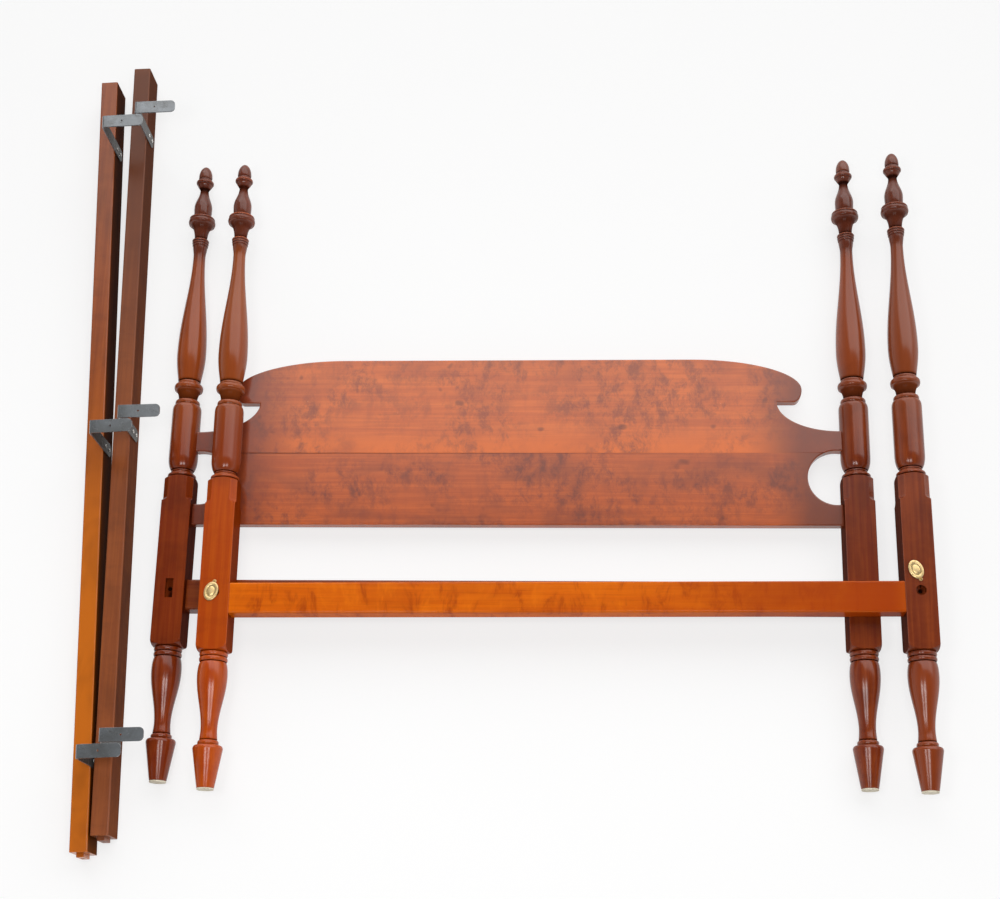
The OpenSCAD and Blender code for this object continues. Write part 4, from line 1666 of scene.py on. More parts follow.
    def build(self, place: Place) -> None:
        """Builds the post, its finial and its toe pad.

        Args:
            place: How its board lies.
        """
        here = place.matrix() @ scaled(moved(POST_SPACING / 2 * self.side.sign, 0, 0))
        lying = here @ scaled(moved(0, 0, self.sizes.block_w / 2)) @ TURN_TO_Y
        outline = thinned(self.finial_outline())
        finial = self.shop.turned(outline, self.FINIAL_SIDES, self.finish, "finial")
        pad = self.shop.turned(self.pad_outline(), self.PAD_SIDES, TOE_FELT, "pad")
        for look, kind, mesh, finish, slot, move in (
            ("turned", "post", self.mesh(), self.finish, self.board + "_post_wood", here),
            ("turned", "finial", finial, self.finish, "finial_wood", lying),
            ("felt", "toe_pad", pad, TOE_FELT, "toe_pad", lying),
        ):
            node = "%s_%s_%s" % (self.board, kind, self.side.value)
            name = "%s_%s" % (look, node)
            self.shop.set_piece(name, mesh, finish, self.board + "board", slot, (node,), move)


# ---------------------------------------------------------------- boards


def offset_loop(points: list[Station], inward: float) -> list[Station]:
    """Moves a closed outline inwards.

    Args:
        points: Outline, anticlockwise.
        inward: Distance.

    Returns:
        The moved outline, with as many points.
    """
    count = len(points)
    result = []
    for i in range(count):
        before, here, after = (Vector(points[(i + k) % count]) for k in (-1, 0, 1))
        a, b = (here - before).normalized(), (after - here).normalized()
        normal = Vector((-a.y, a.x))
        bisector = normal + Vector((-b.y, b.x))
        if bisector.length < 1e-6:
            bisector = normal.copy()
        bisector.normalize()
        stretch = min(1 / max(bisector.dot(normal), 0.3), 1.6)
        result.append(tuple(here + bisector * inward * stretch))
    return result


def slab(points: list[Station], low: float, high: float, ease: float, seam: float, name: str) -> Mesh:
    """Makes a board with eased edges from its outline, but for its glued edge.

    Args:
        points: Outline in millimetres, anticlockwise.
        low: Height of its back.
        high: Height of its front.
        ease: Radius of its eased edges.
        seam: Y of the glued edge, which stays square.
        name: Name of the mesh.

    Returns:
        The mesh in metres.
    """
    glued = [abs(y - seam) < 1e-6 for _, y in points]
    eased = curve((0.0, low + ease), (ease, low), 3, late, early)
    levels = eased[::-1] + [(inset, low + high - z) for inset, z in eased]
    rings, wears = [], []
    for inset, z in levels:
        loop = offset_loop(points, inset) if inset > 1e-6 else points
        rings.append([Vector((x, seam if kept else y, z)) for (x, y), kept in zip(loop, glued)])
        # Eased board edges are pale, wear with a painted highlight; glued edges stay plain.
        wears.append([PLAIN_WEAR if kept or inset > ease * 0.75 else BOARD_WEAR for kept in glued])
    bm = bmesh.new()
    ends = skin(bm, rings, wears)
    layer = bm.verts.layers.float["wear"]
    for row in ends:
        middle = offset_loop([(vertex.co.x / MM, vertex.co.y / MM) for vertex in row], 2.0)
        inner = [bm.verts.new((x * MM, y * MM, row[0].co.z)) for x, y in middle]
        for vertex in inner:
            vertex[layer] = PLAIN_WEAR
        band(bm, row, inner)
        bm.faces.new(inner)
    bmesh.ops.triangulate(bm, faces=[face for face in bm.faces if len(face.verts) > 4])
    return closed_mesh(bm, name)


@dataclass(frozen=True)
class PanelSizes:
    """Sizes of the headboard's panel."""

    thick: float = 23.0
    low: float = 622.0
    tongue_h: float = 51.5
    cut_r: float = 68.0
    cut_in: float = 11.5
    arm_h: float = 50.0
    cove_len: float = 147.5
    cove_h: float = 75.0
    ear_in: float = 87.0
    nose_len: float = 20.0
    nose_h: float = 32.0
    fall_len: float = 266.0
    fall_h: float = 80.0
    seam_up: float = 182.0
    tenon_in: float = 22.0
    ease: float = 1.4


class HeadPanel:
    """The scroll-cut panel, glued up from two boards."""

    SHARP_ANGLE = 40.0

    def __init__(self, shop: Workshop) -> None:
        """Keeps the workshop and the sizes.

        Args:
            shop: Workshop with the finishes.
        """
        self.shop = shop
        self.sizes = PanelSizes()
        self.seam = self.sizes.low + self.sizes.seam_up
        self.tongue = self.sizes.low + self.sizes.tongue_h
        self.cut_y = self.tongue + self.sizes.cut_r
        self.side = math.acos(self.sizes.cut_in / self.sizes.cut_r)
        self.rise = math.asin((self.seam - self.cut_y) / self.sizes.cut_r)

    def cut_points(self, start: float, end: float, steps: int) -> list[Station]:
        """Gives points of the right round cut.

        Args:
            start: First angle in radians.
            end: Last angle in radians.
            steps: Number of steps.

        Returns:
            The points.
        """
        s = self.sizes
        turns = [start + (end - start) * i / steps for i in range(steps + 1)]
        return [
            (INNER_HALF - s.cut_in + s.cut_r * math.cos(turn), self.cut_y + s.cut_r * math.sin(turn))
            for turn in turns
        ]

    def tenon(self, low: float, high: float) -> list[Station]:
        """Gives the right tenon's corners between two heights, and the shoulder above it."""
        tip = INNER_HALF + self.sizes.tenon_in
        return [(INNER_HALF, low), (tip, low), (tip, high), (INNER_HALF, high)]

    def lower_half(self) -> list[Station]:
        """Gives the right half of the lower board's outline.

        Returns:
            Its points, from the middle to the right and back.
        """
        return [
            *[(INNER_HALF * i / 10, self.sizes.low) for i in range(1, 10)],
            *self.tenon(self.sizes.low, self.tongue),
            *self.cut_points(-self.side, -(math.pi + self.rise), 44),
        ]

    def upper_half(self) -> list[Station]:
        """Gives the right half of the upper board's outline.

        Returns:
            Its points, from the middle to the right and back.
        """
        s = self.sizes
        arm_low = self.cut_y + s.cut_r
        arm_top = arm_low + s.arm_h
        hook_y = arm_top + s.cove_h
        nose_y = hook_y + s.nose_h
        top_y = nose_y + s.fall_h
        nose_x = INNER_HALF - s.ear_in
        fall_x = nose_x - s.fall_len
        return [
            *[(INNER_HALF * i / 10, self.seam) for i in range(1, 9)],
            *self.cut_points(math.pi - self.rise, self.side, 16),
            *self.tenon(arm_low, arm_top),
            *curve((INNER_HALF, arm_top), (INNER_HALF - s.cove_len, hook_y), 30, early, late)[1:],
            *curve((nose_x - s.nose_len, hook_y), (nose_x, nose_y), 16, early, late)[:-1],
            *curve((nose_x, nose_y), (fall_x, top_y), 40, late, early),
            *[(fall_x * i / 6, top_y) for i in range(5, 0, -1)],
        ]

    def build(self, place: Place) -> None:
        """Builds both boards.

        Args:
            place: How the headboard lies.
        """
        s = self.sizes
        low = SIZES.block_w / 2 - s.thick / 2
        for half, word, finish in (
            (self.lower_half(), "lower", LOWER_BOARD_WOOD), (self.upper_half(), "upper", UPPER_BOARD_WOOD)
        ):
            outline = half + [(-x, y) for x, y in reversed(half)]
            mesh = slab(outline, low, low + s.thick, s.ease, self.seam, "board")
            self.shop.set_piece(
                "panel_%s_board" % word, mesh, finish, "headboard", "panel_wood",
                ("head_panel_%s_board" % word,), place.matrix(), self.SHARP_ANGLE,
            )


def rounded_section(width: float, height: float, radius: float, steps: int = 4) -> list[Station]:
    """Gives a rectangle with rounded corners about the origin.

    Args:
        width: Its width.
        height: Its height.
        radius: Radius of its corners.
        steps: Steps of a corner.

    Returns:
        Its points, anticlockwise.
    """
    points = []
    for k, (sx, sy) in enumerate(((1, -1), (1, 1), (-1, 1), (-1, -1))):
        for i in range(steps + 1):
            turn = QUARTER * (k - 1 + i / steps)
            points.append((
                sx * (width / 2 - radius) + radius * math.cos(turn),
                sy * (height / 2 - radius) + radius * math.sin(turn),
            ))
    return points


@dataclass(frozen=True)
class Tenon:
    """A stub at both ends of a bar: its width, height and length in millimetres."""

    width: float
    height: float
    length: float


def bar(
    width: float, height: float, radius: float, length: float, pieces: int,
    put: Callable[[float, float, float], Vector], ease: float = 0.5, tenon: Optional[Tenon] = None,
    shade: tuple[float, float] = (PLAIN_WEAR, PLAIN_WEAR),
) -> Mesh:
    """Makes a straight bar with eased long edges, slightly eased ends and, if asked for, tenons.

    Args:
        width: Width of its section.
        height: Height of its section.
        radius: Radius of its long edges.
        length: Its length between the shoulders.
        pieces: Number of stretches along it.
        put: Turns width, height and length into a point in millimetres.
        ease: Size of the easing at its ends.
        tenon: Stub at both ends.
        shade: Painted shade of the faces at the least and the greatest width.

    Returns:
        The mesh in metres.
    """
    section = rounded_section(width, height, radius)
    inner = rounded_section(width - 2 * ease, height - 2 * ease, max(radius - ease, 0.2))
    if tenon:
        stub = rounded_section(tenon.width, tenon.height, 0.8)
        tip = rounded_section(tenon.width - 2 * ease, tenon.height - 2 * ease, 0.4)
        start = [(-tenon.length, tip), (ease - tenon.length, stub), (0.0, stub)]
    else:
        start = [(0.0, rounded_section(width - 8 * ease, height - 8 * ease, 0.2))]
    start += [(0.0, inner), (ease, section)]

    def wear_at(x: float, y: float, along: float, loop: list[Station]) -> float:
        """Gives the wear and painted shade of a point of a section.

        Args:
            x: Place across the section.
            y: Height in the section.
            along: Place of the section.
            loop: The section.

        Returns:
            The wear and painted shade.
        """
        # The two faces at the section's width take their painted shade; rounded edges and the eased ends get
        # wear with a painted highlight.
        if loop is section and abs(x) > width / 2 - 1e-6:
            return shade[x > 0]
        rounded = max(abs(abs(x) - width / 2), abs(abs(y) - height / 2)) < radius * 0.9
        on_edge = loop is inner or loop is section and (rounded or along in (ease, length - ease))
        return EASED_WEAR if on_edge else PLAIN_WEAR

    stations = start + [(ease + (length - 2 * ease) * i / pieces, section) for i in range(1, pieces)]
    stations += [(length - along, loop) for along, loop in reversed(start)]
    rings = [[put(x, y, along) for x, y in loop] for along, loop in stations]
    wears = [[wear_at(x, y, along, loop) for x, y in loop] for along, loop in stations]
    return loft(rings, wears, "bar")


@dataclass(frozen=True)
class BoardRailSizes:
    """Sizes of the lower rail of a board."""

    height: float = 74.0
    thick: float = 45.0
    ease: float = 4.0
    recess: float = 2.0
    head_low: float = 411.0
    foot_low: float = 406.0
    tenon_in: float = 22.0
    tenon_h: float = 56.0
    tenon_t: float = 18.0


class BoardRail:
    """The lower rail of a board, between its two posts."""

    PIECES = 24
    END_EASE = 0.4
    # Painted shade on the rail's two narrow long faces, at low Y and at high Y.
    SHADE = (0.43, 0.4)

    def __init__(self, shop: Workshop, board: str, finish: WoodFinish) -> None:
        """Keeps the workshop, the board's name and the finish.

        Args:
            shop: Workshop with the finishes.
            board: Name of the board, head or foot.
            finish: Finish of the rail.
        """
        self.shop = shop
        self.board = board
        self.finish = finish
        self.sizes = BoardRailSizes()

    def build(self, place: Place) -> None:
        """Builds the rail with its tenons.

        Args:
            place: How its board lies.
        """
        s = self.sizes
        if self.board == "head":
            y, z = s.head_low + s.height / 2, s.recess + s.thick / 2
        else:
            y, z = s.foot_low + s.height / 2, SIZES.block_w - s.recess - s.thick / 2
        rail = bar(
            s.height, s.thick, s.ease, 2 * INNER_HALF, self.PIECES,
            lambda a, b, c: Vector((c - INNER_HALF, a + y, b + z)), self.END_EASE,
            Tenon(s.tenon_h, s.tenon_t, s.tenon_in), self.SHADE,
        )
        self.shop.set_piece(
            self.board + "_lower_rail", rail, self.finish, self.board + "board", self.board + "_rail_wood",
            (self.board + "_rail",), place.matrix(),
        )


# ---------------------------------------------------------------- bolt covers


@dataclass(frozen=True)
class CoverSizes:
    """Sizes of an oval bolt cover and its pivot screw."""

    width: float = 33.0
    height: float = 46.0
    plate: float = 2.0
    relief: float = 1.5
    lug_r: float = 4.25
    past_end: float = 2.0
    pivot_r: float = 1.6
    head_r: float = 3.0
    head_h: float = 2.2
    gap: float = 0.3
    screw_in: float = 14.0


class BoltCover:
    """An oval brass plate that hangs from one screw over a bolt's hole."""

    AROUND, ROWS = 72, 56
    LUG_SIDES = 40
    PLAY = 0.08
    BACK = ((0.0, 0.0), (0.5, 0.0), (0.97, 0.0), (1.0, 0.4))
    NOTCHED = (0.64, 0.97)
    NOTCHES, NOTCH_DEPTH = 36, 0.2
    SHARP_ANGLE = 38.0

    def __init__(self, shop: Workshop, side: Side, turn: float) -> None:
        """Keeps the workshop, the side and the turn from hanging straight, in degrees.

        Args:
            shop: Workshop with the finishes.
            side: Side of the footboard.
            turn: Turn from hanging straight, in degrees.
        """
        self.shop = shop
        self.side = side
        self.turn = turn
        self.sizes = CoverSizes()

    def height_at(self, share: float) -> float:
        """Gives the relief of the plate, from its middle at 0 to its edge at 1.

        Args:
            share: Distance from the middle as a share of the oval.

        Returns:
            Height above the back of the plate.
        """
        s = self.sizes
        top = s.plate + s.relief
        profile = (
            (0.0, top), (0.18, top - 0.1), (0.34, top - 0.3), (0.44, top - 0.8), (0.49, s.plate + 0.2),
            (0.56, s.plate), (0.60, s.plate), (0.65, s.plate + 0.9), (0.70, top - 0.25), (0.78, top - 0.1),
            (0.90, top - 0.2), (0.95, top - 0.5), (0.985, s.plate + 0.3), (1.0, s.plate - 0.5),
        )
        for (a, low), (b, high) in zip(profile, profile[1:]):
            if share <= b:
                return low + (high - low) * smooth((share - a) / (b - a))
        return profile[-1][1]

    def plate_mesh(self) -> Mesh:
        """Builds the oval plate with its rim, its bead and its domed middle.

        Returns:
            The mesh in metres.
        """
        s = self.sizes
        up = s.height / 2 + s.past_end
        front = [1.0 - i / self.ROWS for i in range(self.ROWS + 1)]
        levels = [(share, z, PLAIN_WEAR) for share, z in self.BACK]
        levels += [(share, self.height_at(share), None) for share in front]
        rings, wears = [], []
        for share, z, plain in levels:
            ring, wear = [], []
            depth = (s.plate + s.relief - z) / (s.relief + 0.2)
            notched = plain is None and self.NOTCHED[0] < share < self.NOTCHED[1]
            for j in range(self.AROUND):
                turn = 2 * math.pi * j / self.AROUND
                notch = self.NOTCH_DEPTH * (1 + math.cos(turn * self.NOTCHES)) / 2 if notched else 0.0
                x, y = s.width / 2 * share * math.cos(turn), s.height / 2 * share * math.sin(turn) - up
                ring.append(Vector((x, y, z - notch)))
                wear.append(plain or min(1.0, max(0.0, 0.92 - depth * 0.85 - notch * 2)))
            rings.append(ring)
            wears.append(wear)
        return loft(rings, wears, "plate")

    def lug_mesh(self) -> Mesh:
        """Builds the round lug about the pivot.

        Returns:
            The mesh in metres.
        """
        s = self.sizes
        bore = s.pivot_r + self.PLAY
        outline = [
            (bore, 0.0), (s.lug_r - 0.4, 0.0), (s.lug_r, 0.4), (s.lug_r, s.plate - 0.5),
            (s.lug_r - 0.5, s.plate), (s.head_r + s.gap, s.plate), (bore, s.plate), (bore, 0.0),
        ]
        return self.shop.turned(outline, self.LUG_SIDES, COVER_BRASS, "lug")

    def screw_mesh(self) -> Mesh:
        """Builds the round-headed pivot screw with its slot.

        Returns:
            The mesh in metres.
        """
        s = self.sizes
        seat = s.plate + self.PLAY
        top = seat + s.head_h
        outline = [
            (0.0, -s.screw_in), (s.pivot_r, -s.screw_in + 2), (s.pivot_r, seat), (s.head_r - 0.2, seat),
            (s.head_r, seat + 0.3), *curve((s.head_r, seat + 0.6), (0.0, top), 10, late, early),
        ]
        mesh = self.shop.turned(thinned(outline), self.LUG_SIDES, SCREW_BRASS, "cover_screw")
        return cut(mesh, [brick((-s.head_r - 1, -0.35, top - 0.9), (s.head_r + 1, 0.35, top + 1))])

    def build(self, place: Place) -> None:
        """Builds the plate and its screw.

        Args:
            place: How the footboard lies.
        """
        s = self.sizes
        ending = "_" + self.side.value
        up = SIZES.bolt_up + s.height / 2 + s.past_end
        pivot = place.matrix() @ scaled(moved(POST_SPACING / 2 * self.side.sign, up, SIZES.block_w + s.gap))
        swing = Matrix.Rotation(math.radians(self.turn), 4, "Z")
        self.shop.set_piece(
            "brass_cover" + ending, joined([self.plate_mesh(), self.lug_mesh()], "plate"), COVER_BRASS,
            "cover" + ending, "cover_brass", ("bolt_cover" + ending,), pivot @ swing, self.SHARP_ANGLE,
        )
        tilt = Matrix.Rotation(0.5 + self.side.sign * 0.6, 4, "Z")
        self.shop.set_piece(
            "brass_screw" + ending, self.screw_mesh(), SCREW_BRASS, "footboard", "screw_brass",
            ("cover_screw" + ending,), pivot @ tilt,
        )


# ---------------------------------------------------------------- side rails


@dataclass(frozen=True)
class SideRailSizes:
    """Sizes of a side rail with its brackets, screws and nuts."""

    length: float = 1990.0
    thick: float = 42.0
    height: float = 76.0
    ease: float = 3.0
    stub_len: float = 10.0
    stub_w: float = 17.4
    stub_h: float = 46.4
    bolt_r: float = 5.0
    nut_in: float = 75.0
    pocket_r: float = 12.0
    nut_w: float = 16.0
    nut_t: float = 8.0
    strip_w: float = 32.0
    strip_t: float = 3.2
    bend_r: float = 2.0
    leg_on: float = 54.0
    leg_past: float = 114.0
    foot_len: float = 102.0
    corner: float = 11.0
    slat_hole: float = 50.0
    hole_r: float = 2.5
    screw_low: float = 14.0
    screw_apart: float = 26.0
    first: float = 208.0
    last: float = 190.0
    middle_off: float = 22.0
    screw_r: float = 2.1
    screw_len: float = 26.0
    screw_head_r: float = 4.4
    screw_head_h: float = 2.4

    @property
    def places(self) -> tuple[float, float, float]:
        """Places of the brackets along the rail."""
        far = self.length - self.last
        return (self.first, (self.first + far) / 2 - self.middle_off, far)

    @property
    def screw_heights(self) -> tuple[float, float]:
        """Heights of a bracket's two screws."""
        low = self.height - self.leg_on + self.screw_low
        return (low, low + self.screw_apart)


class SideRail:
    """A side rail on edge, upside down, with three bent strip brackets."""

    PIECES = 40
    # Painted shade on each rail's +X face, darker on the left rail, which lies in the right rail's shadow.
    INNER_SHADE = {Side.LEFT: 0.28, Side.RIGHT: 0.36}
    STRIP_EASE = 0.45
    # Values of a bracket's flat and its edges: painted shade on the leg, which lies in shade, and wear with a
    # painted highlight on the foot's edges.
    LEG_WEAR, FOOT_WEAR = (0.1, 0.6), (0.6, 0.9)
    HOLE_SIDES, BORE_SIDES, SCREW_SIDES = 20, 24, 28
    THREAD_TURNS, THREAD_PITCH = 7, 2.0
    SCREW_GAP = 0.1

    def __init__(self, shop: Workshop, side: Side, finish: WoodFinish, seed: int) -> None:
        """Keeps what the rail is made from.

        Args:
            shop: Workshop with the finishes.
            side: Which side rail.
            finish: Finish of its wood.
            seed: Seed for its screws.
        """
        self.shop = shop
        self.side = side
        self.finish = finish
        self.seed = seed
        self.sizes = SideRailSizes()

    def rail_mesh(self) -> Mesh:
        """Builds the rail with its stub tenons, bolt bores and nut pockets.

        Returns:
            The mesh in metres.
        """
        s = self.sizes
        half = s.height / 2
        mesh = bar(
            s.thick, s.height, s.ease, s.length, self.PIECES, lambda a, b, c: Vector((a, c, b + half)), 0.5,
            Tenon(s.stub_w, s.stub_h, s.stub_len), (PLAIN_WEAR, self.INNER_SHADE[self.side]),
        )
        over = s.stub_len + 1
        bore, pocket = over + s.nut_in + s.pocket_r + 5, s.thick / 2 + s.nut_w / 2 + 1.3
        return cut(mesh, [
            rod(s.bolt_r, bore, moved(0, -over, half) @ TURN_TO_Y),
            rod(s.bolt_r, bore, moved(0, s.length + over, half) @ TURN_TO_Y.inverted()),
            *[rod(s.pocket_r, pocket, moved(-s.thick / 2 - 1, y, half) @ TURN_TO_X)
              for y in (s.nut_in, s.length - s.nut_in)],
        ])

    def bracket_mesh(self) -> Mesh:
        """Builds one bracket with its back on the rail's face and its middle at the origin of Y.

        Returns:
            The mesh in metres.
        """
        s = self.sizes
        out = s.bend_r + s.strip_t
        top = s.height + s.leg_past
        back = s.thick / 2
        leg, bend, foot = s.leg_on + s.leg_past - out, out * QUARTER, s.foot_len - out
        total = leg + bend + foot

        def put(along: float, across: float, deep: float) -> Vector:
            """Lays a point of the flat strip on the bent path.

            Args:
                along: Place along the strip.
                across: Place across it.
                deep: Depth below its back.

            Returns:
                The point in millimetres.
            """
            if along <= leg:
                return Vector((back + deep, across, top - out - leg + along))
            if along <= leg + bend:
                turn, radius = math.pi - (along - leg) / out, out - deep
                x, z = back + out + radius * math.cos(turn), top - out + radius * math.sin(turn)
                return Vector((x, across, z))
            return Vector((back + out + along - leg - bend, across, top - deep))

        marks = [
            *[s.corner * late(i / 8) for i in range(9)], *[leg * i / 10 for i in range(2, 10)], leg,
            *[leg + bend * i / 10 for i in range(1, 11)], *[leg + bend + foot * i / 6 for i in range(1, 6)],
            *[total - s.corner * (1 - early(i / 8)) for i in range(9)],
        ]
        rings, wears = [], []
        for along in sorted({round(mark, 5) for mark in marks}):
            near = min(along, total - along)
            half = s.strip_w / 2
            if near < s.corner:
                half += -s.corner + math.sqrt(max(s.corner ** 2 - (s.corner - near) ** 2, 0.0))
            section = rounded_section(2 * half, s.strip_t, self.STRIP_EASE, 2)
            rings.append([put(along, a, s.strip_t / 2 - b) for a, b in section])
            # Painted shade on the leg; pale edges with wear and a painted highlight on the foot.
            plain, worn = self.LEG_WEAR if along < leg - 2.0 else self.FOOT_WEAR
            wears.append([worn if abs(a) > half - 0.5 * self.STRIP_EASE else plain for a, _ in section])
        places = [moved(back - 2, 0, z) @ TURN_TO_X for z in s.screw_heights]
        places.append(moved(back + s.slat_hole, 0, top - s.strip_t - 2))
        holes = [rod(s.hole_r, s.strip_t + 4, place, self.HOLE_SIDES) for place in places]
        return cut(loft(rings, wears, "strip"), holes)

    def screw_mesh(self) -> Mesh:
        """Builds one round-headed wood screw, pointing into the rail along -X.

        Returns:
            The mesh in metres.
        """
        s = self.sizes
        tip, root, high = 3 - s.screw_len, s.screw_r * 0.72, s.screw_head_h
        outline = [(0.0, -s.screw_len), (s.screw_r * 0.5, tip)]
        for i in range(self.THREAD_TURNS):
            low = tip + i * self.THREAD_PITCH
            outline += [(root, low + 0.6), (s.screw_r, low + 1.2), (root, low + 1.8)]
        outline += [(s.screw_r, -8.0), (s.screw_r, 0.0), (s.screw_head_r - 0.2, 0.0), (s.screw_head_r, 0.2)]
        outline += curve((s.screw_head_r, 0.6), (0.0, high), 8, late, early)
        mesh = self.shop.turned(thinned(outline), self.SCREW_SIDES, SCREW_STEEL, "wood_screw")
        reach = s.screw_head_r + 1
        mesh = cut(mesh, [brick((-reach, -0.45, high - 1.1), (reach, 0.45, high + 1))])
        mesh.transform(TURN_TO_X)
        return mesh

    def nut_mesh(self) -> Mesh:
        """Builds one square nut with its bore along Y.

        Returns:
            The mesh in metres.
        """
        s = self.sizes
        mesh = bar(s.nut_w, s.nut_w, 0.8, s.nut_t, 2, lambda a, b, c: Vector((a, c, b)))
        return cut(mesh, [rod(s.bolt_r - 0.4, s.nut_t + 4, moved(0, -2, 0) @ TURN_TO_Y, self.BORE_SIDES)])

    def build(self) -> None:
        """Builds the rail, its brackets, its screws and its nuts."""
        s, shop, word = self.sizes, self.shop, self.side.value
        place = rail_place(self.side, s.length * MM, s.height / 2 * MM).matrix()
        points = [(0.0, y, 0.0) for y in s.places]
        brackets = shop.repeated(self.bracket_mesh(), points, BRACKET_STEEL, "brackets")
        held = tuple("%s_bracket_%s" % (word, end) for end in ("foot", "middle", "head"))
        seat = s.thick / 2 + s.strip_t + self.SCREW_GAP
        points = [(seat, y, z) for y in s.places for z in s.screw_heights]
        screws = shop.repeated(self.screw_mesh(), points, SCREW_STEEL, "screws", math.pi, self.seed)
        sit = s.nut_in - math.sqrt(s.pocket_r ** 2 - s.nut_w ** 2 / 4) + 0.3
        points = [(0.0, y, s.height / 2) for y in (sit, s.length - sit - s.nut_t)]
        nuts = shop.repeated(self.nut_mesh(), points, NUT_STEEL, "nuts")
        for kind, mesh, finish, slot, nodes in (
            ("side_rail", self.rail_mesh(), self.finish, "side_rail_wood", ("side_rail_" + word,)),
            ("rail_brackets", brackets, BRACKET_STEEL, "bracket_steel", held),
            ("rail_screws", screws, SCREW_STEEL, "screw_steel", (word + "_bracket_screws",)),
            ("square_nuts", nuts, NUT_STEEL, "nut_steel", (word + "_rail_nuts",)),
        ):
            shop.set_piece("%s_%s" % (word, kind), mesh, finish, "rail_" + word, slot, nodes, place)


# ---------------------------------------------------------------- studio


@dataclass(frozen=True)
class SoftBox:
    """A rectangular lamp: its place and aim in the headboard's frame, its size and its radiance."""

    name: str
    place: Colour
    aim: Colour
    width: float
    height: float
    radiance: float


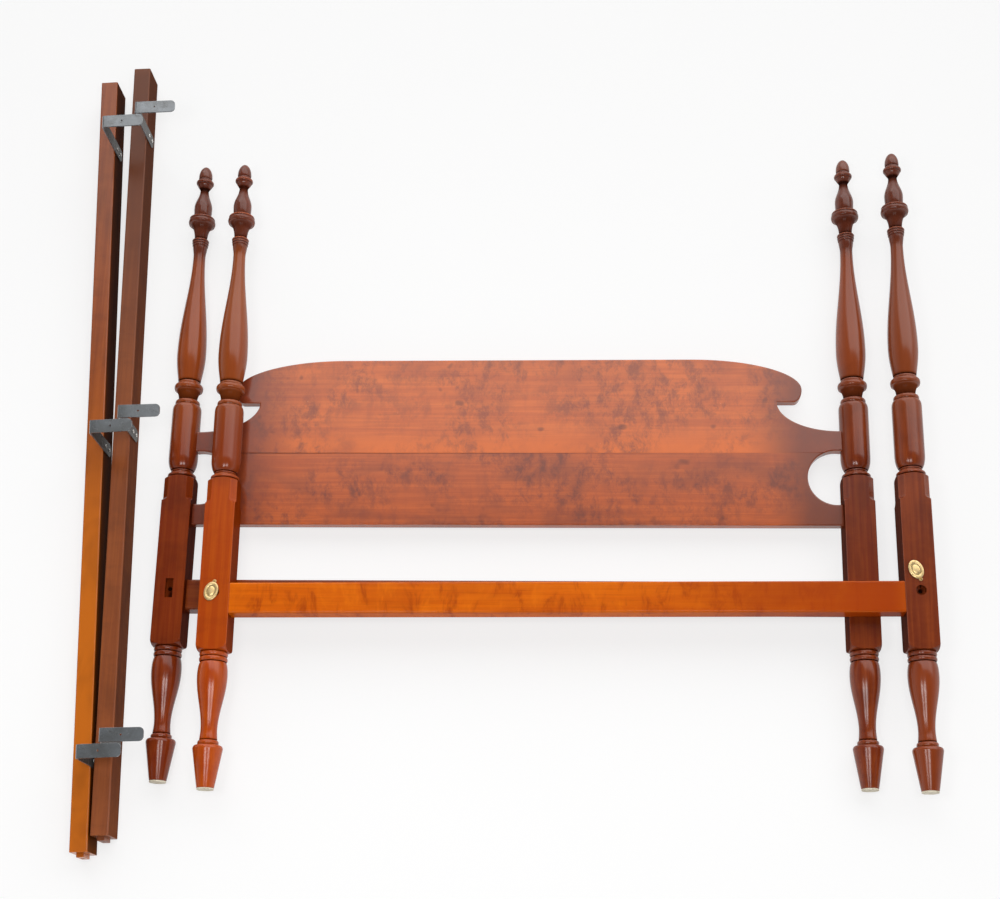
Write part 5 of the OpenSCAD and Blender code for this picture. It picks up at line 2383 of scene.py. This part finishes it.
class Studio:
    """Floor, lamps, surroundings and camera."""

    FLOOR_SIZE, FLOOR_STEPS = 60.0, 8
    CAMERA_PLACE = (0.1829, -0.5551, 3.6000)
    CAMERA_RIGHT = (0.998353, 0.019936, -0.054003)
    CAMERA_UP = (-0.004286, 0.961268, 0.275620)
    CAMERA_BACK = (0.057406, -0.274934, 0.959749)
    CAMERA_CLIP = (0.05, 100.0)
    LENS, SENSOR, SHIFT_Y = 56.838, 36.0, 0.14
    LOBE_LIGHT, WHITE = 2.6, 1.2
    LAMPS = (
        SoftBox("key_left", (-0.80, -0.15, 3.4), (-0.2, 0.6, 0.0), 0.80, 0.95, 9.5),
        SoftBox("key_right", (0.62, -0.15, 3.4), (0.2, 0.6, 0.0), 0.80, 0.95, 9.5),
    )

    def __init__(self, shop: Workshop, board: Place) -> None:
        """Keeps the workshop and the headboard's place."""
        self.shop = shop
        self.board = board

    def floor(self) -> None:
        """Lays the floor."""
        bm = bmesh.new()
        steps = self.FLOOR_STEPS
        bmesh.ops.create_grid(bm, x_segments=steps, y_segments=steps, size=self.FLOOR_SIZE / 2)
        mesh = bpy.data.meshes.new("floor")
        bm.to_mesh(mesh)
        bm.free()
        mesh.materials.append(self.shop.material(STUDIO_FLOOR))
        as_object("floor", mesh)

    def lamps(self) -> None:
        """Hangs the soft boxes."""
        for box in self.LAMPS:
            data = bpy.data.lights.new(box.name, "AREA")
            data.shape = "RECTANGLE"
            data.size, data.size_y = box.width, box.height
            data.energy = box.radiance * math.pi * box.width * box.height
            lamp = as_object(box.name, data)
            start, aim = (self.board.matrix() @ Vector(point) for point in (box.place, box.aim))
            lamp.location = start
            lamp.rotation_mode = "QUATERNION"
            lamp.rotation_quaternion = (aim - start).to_track_quat("-Z", "Y")

    def surroundings(self) -> None:
        """Builds the room's light: white low down, dim overhead and bright beyond the finials."""
        world = bpy.data.worlds.new("studio")
        bpy.context.scene.world = world
        world.use_nodes = True
        desk = NodeDesk(world.node_tree)
        desk.tree.nodes.clear()
        calc, spread = desk.calc, desk.spread
        aside, ahead, height = list(desk.apart(desk.add("ShaderNodeTexCoord").outputs["Generated"]))
        climb = calc("MAXIMUM", height, 0.05)
        lean, turned = calc("DIVIDE", ahead, climb), calc("DIVIDE", aside, climb)
        leftward = calc("MAXIMUM", calc("SUBTRACT", -0.22, turned), 0.0)
        beyond = spread(calc("SUBTRACT", lean, calc("MULTIPLY", leftward, 1.2)), 0.335, 0.375)
        centred = spread(calc("ABSOLUTE", aside), 0.70, 0.95, 1.0, 0.0)
        above = calc("MULTIPLY", spread(height, 0.1, 0.5), self.LOBE_LIGHT)
        lobe = calc("MULTIPLY", calc("MULTIPLY", beyond, centred), above)
        near = calc("MULTIPLY", spread(lean, -0.8, -2.0), spread(height, 0.0, 0.1, 0.0, 0.5))
        room = calc("ADD", calc("ADD", spread(height, 0.30, 0.90, 0.62, 0.06), lobe), near)
        edge = calc("MULTIPLY", desk.seen(), spread(height, 0.12, 0.28, 1.0, 0.0))
        white = calc("MULTIPLY", calc("SUBTRACT", self.WHITE, room), edge)
        background = desk.add("ShaderNodeBackground", Strength=calc("ADD", room, white))
        desk.add("ShaderNodeOutputWorld", Surface=background.outputs[0])

    def camera(self) -> None:
        """Sets up the camera where the photograph was taken from."""
        data = bpy.data.cameras.new("camera")
        data.lens, data.sensor_width, data.sensor_fit = self.LENS, self.SENSOR, "HORIZONTAL"
        data.shift_y = self.SHIFT_Y
        data.clip_start, data.clip_end = self.CAMERA_CLIP
        camera = as_object("camera", data)
        turned = Matrix((self.CAMERA_RIGHT, self.CAMERA_UP, self.CAMERA_BACK)).transposed().to_4x4()
        turned.translation = Vector(self.CAMERA_PLACE)
        camera.matrix_world = self.board.matrix() @ turned
        bpy.context.scene.camera = camera

    def build(self) -> None:
        """Builds the whole studio."""
        self.camera()
        self.floor()
        self.lamps()
        self.surroundings()
        bpy.context.scene.view_settings.view_transform = "Standard"
        LOG.info("studio: floor, %d lamps and camera", len(self.LAMPS))


def main() -> None:
    """Builds the bed in order."""
    logging.basicConfig(level=logging.INFO, format="%(message)s")
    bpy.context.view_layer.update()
    shop = Workshop()
    half_block = SIZES.block_w / 2 * MM
    head_place, foot_place = board_place("head", half_block), board_place("foot", half_block)
    Studio(shop, head_place).build()
    TurnedPost(shop, "head", Side.LEFT, Face.INNER_UP, HEAD_LEFT_WOOD).build(head_place)
    TurnedPost(shop, "head", Side.RIGHT, Face.INNER_UP, HEAD_RIGHT_WOOD).build(head_place)
    HeadPanel(shop).build(head_place)
    BoardRail(shop, "head", HEAD_RAIL_WOOD).build(head_place)
    TurnedPost(shop, "foot", Side.LEFT, Face.OUTER_UP, FOOT_LEFT_WOOD).build(foot_place)
    TurnedPost(shop, "foot", Side.RIGHT, Face.OUTER_UP, FOOT_RIGHT_WOOD).build(foot_place)
    BoardRail(shop, "foot", FOOT_RAIL_WOOD).build(foot_place)
    BoltCover(shop, Side.LEFT, -16.0).build(foot_place)
    BoltCover(shop, Side.RIGHT, -158.0).build(foot_place)
    SideRail(shop, Side.LEFT, LEFT_SIDE_WOOD, 5).build()
    SideRail(shop, Side.RIGHT, RIGHT_SIDE_WOOD, 11).build()


if __name__ == "__main__":
    main()
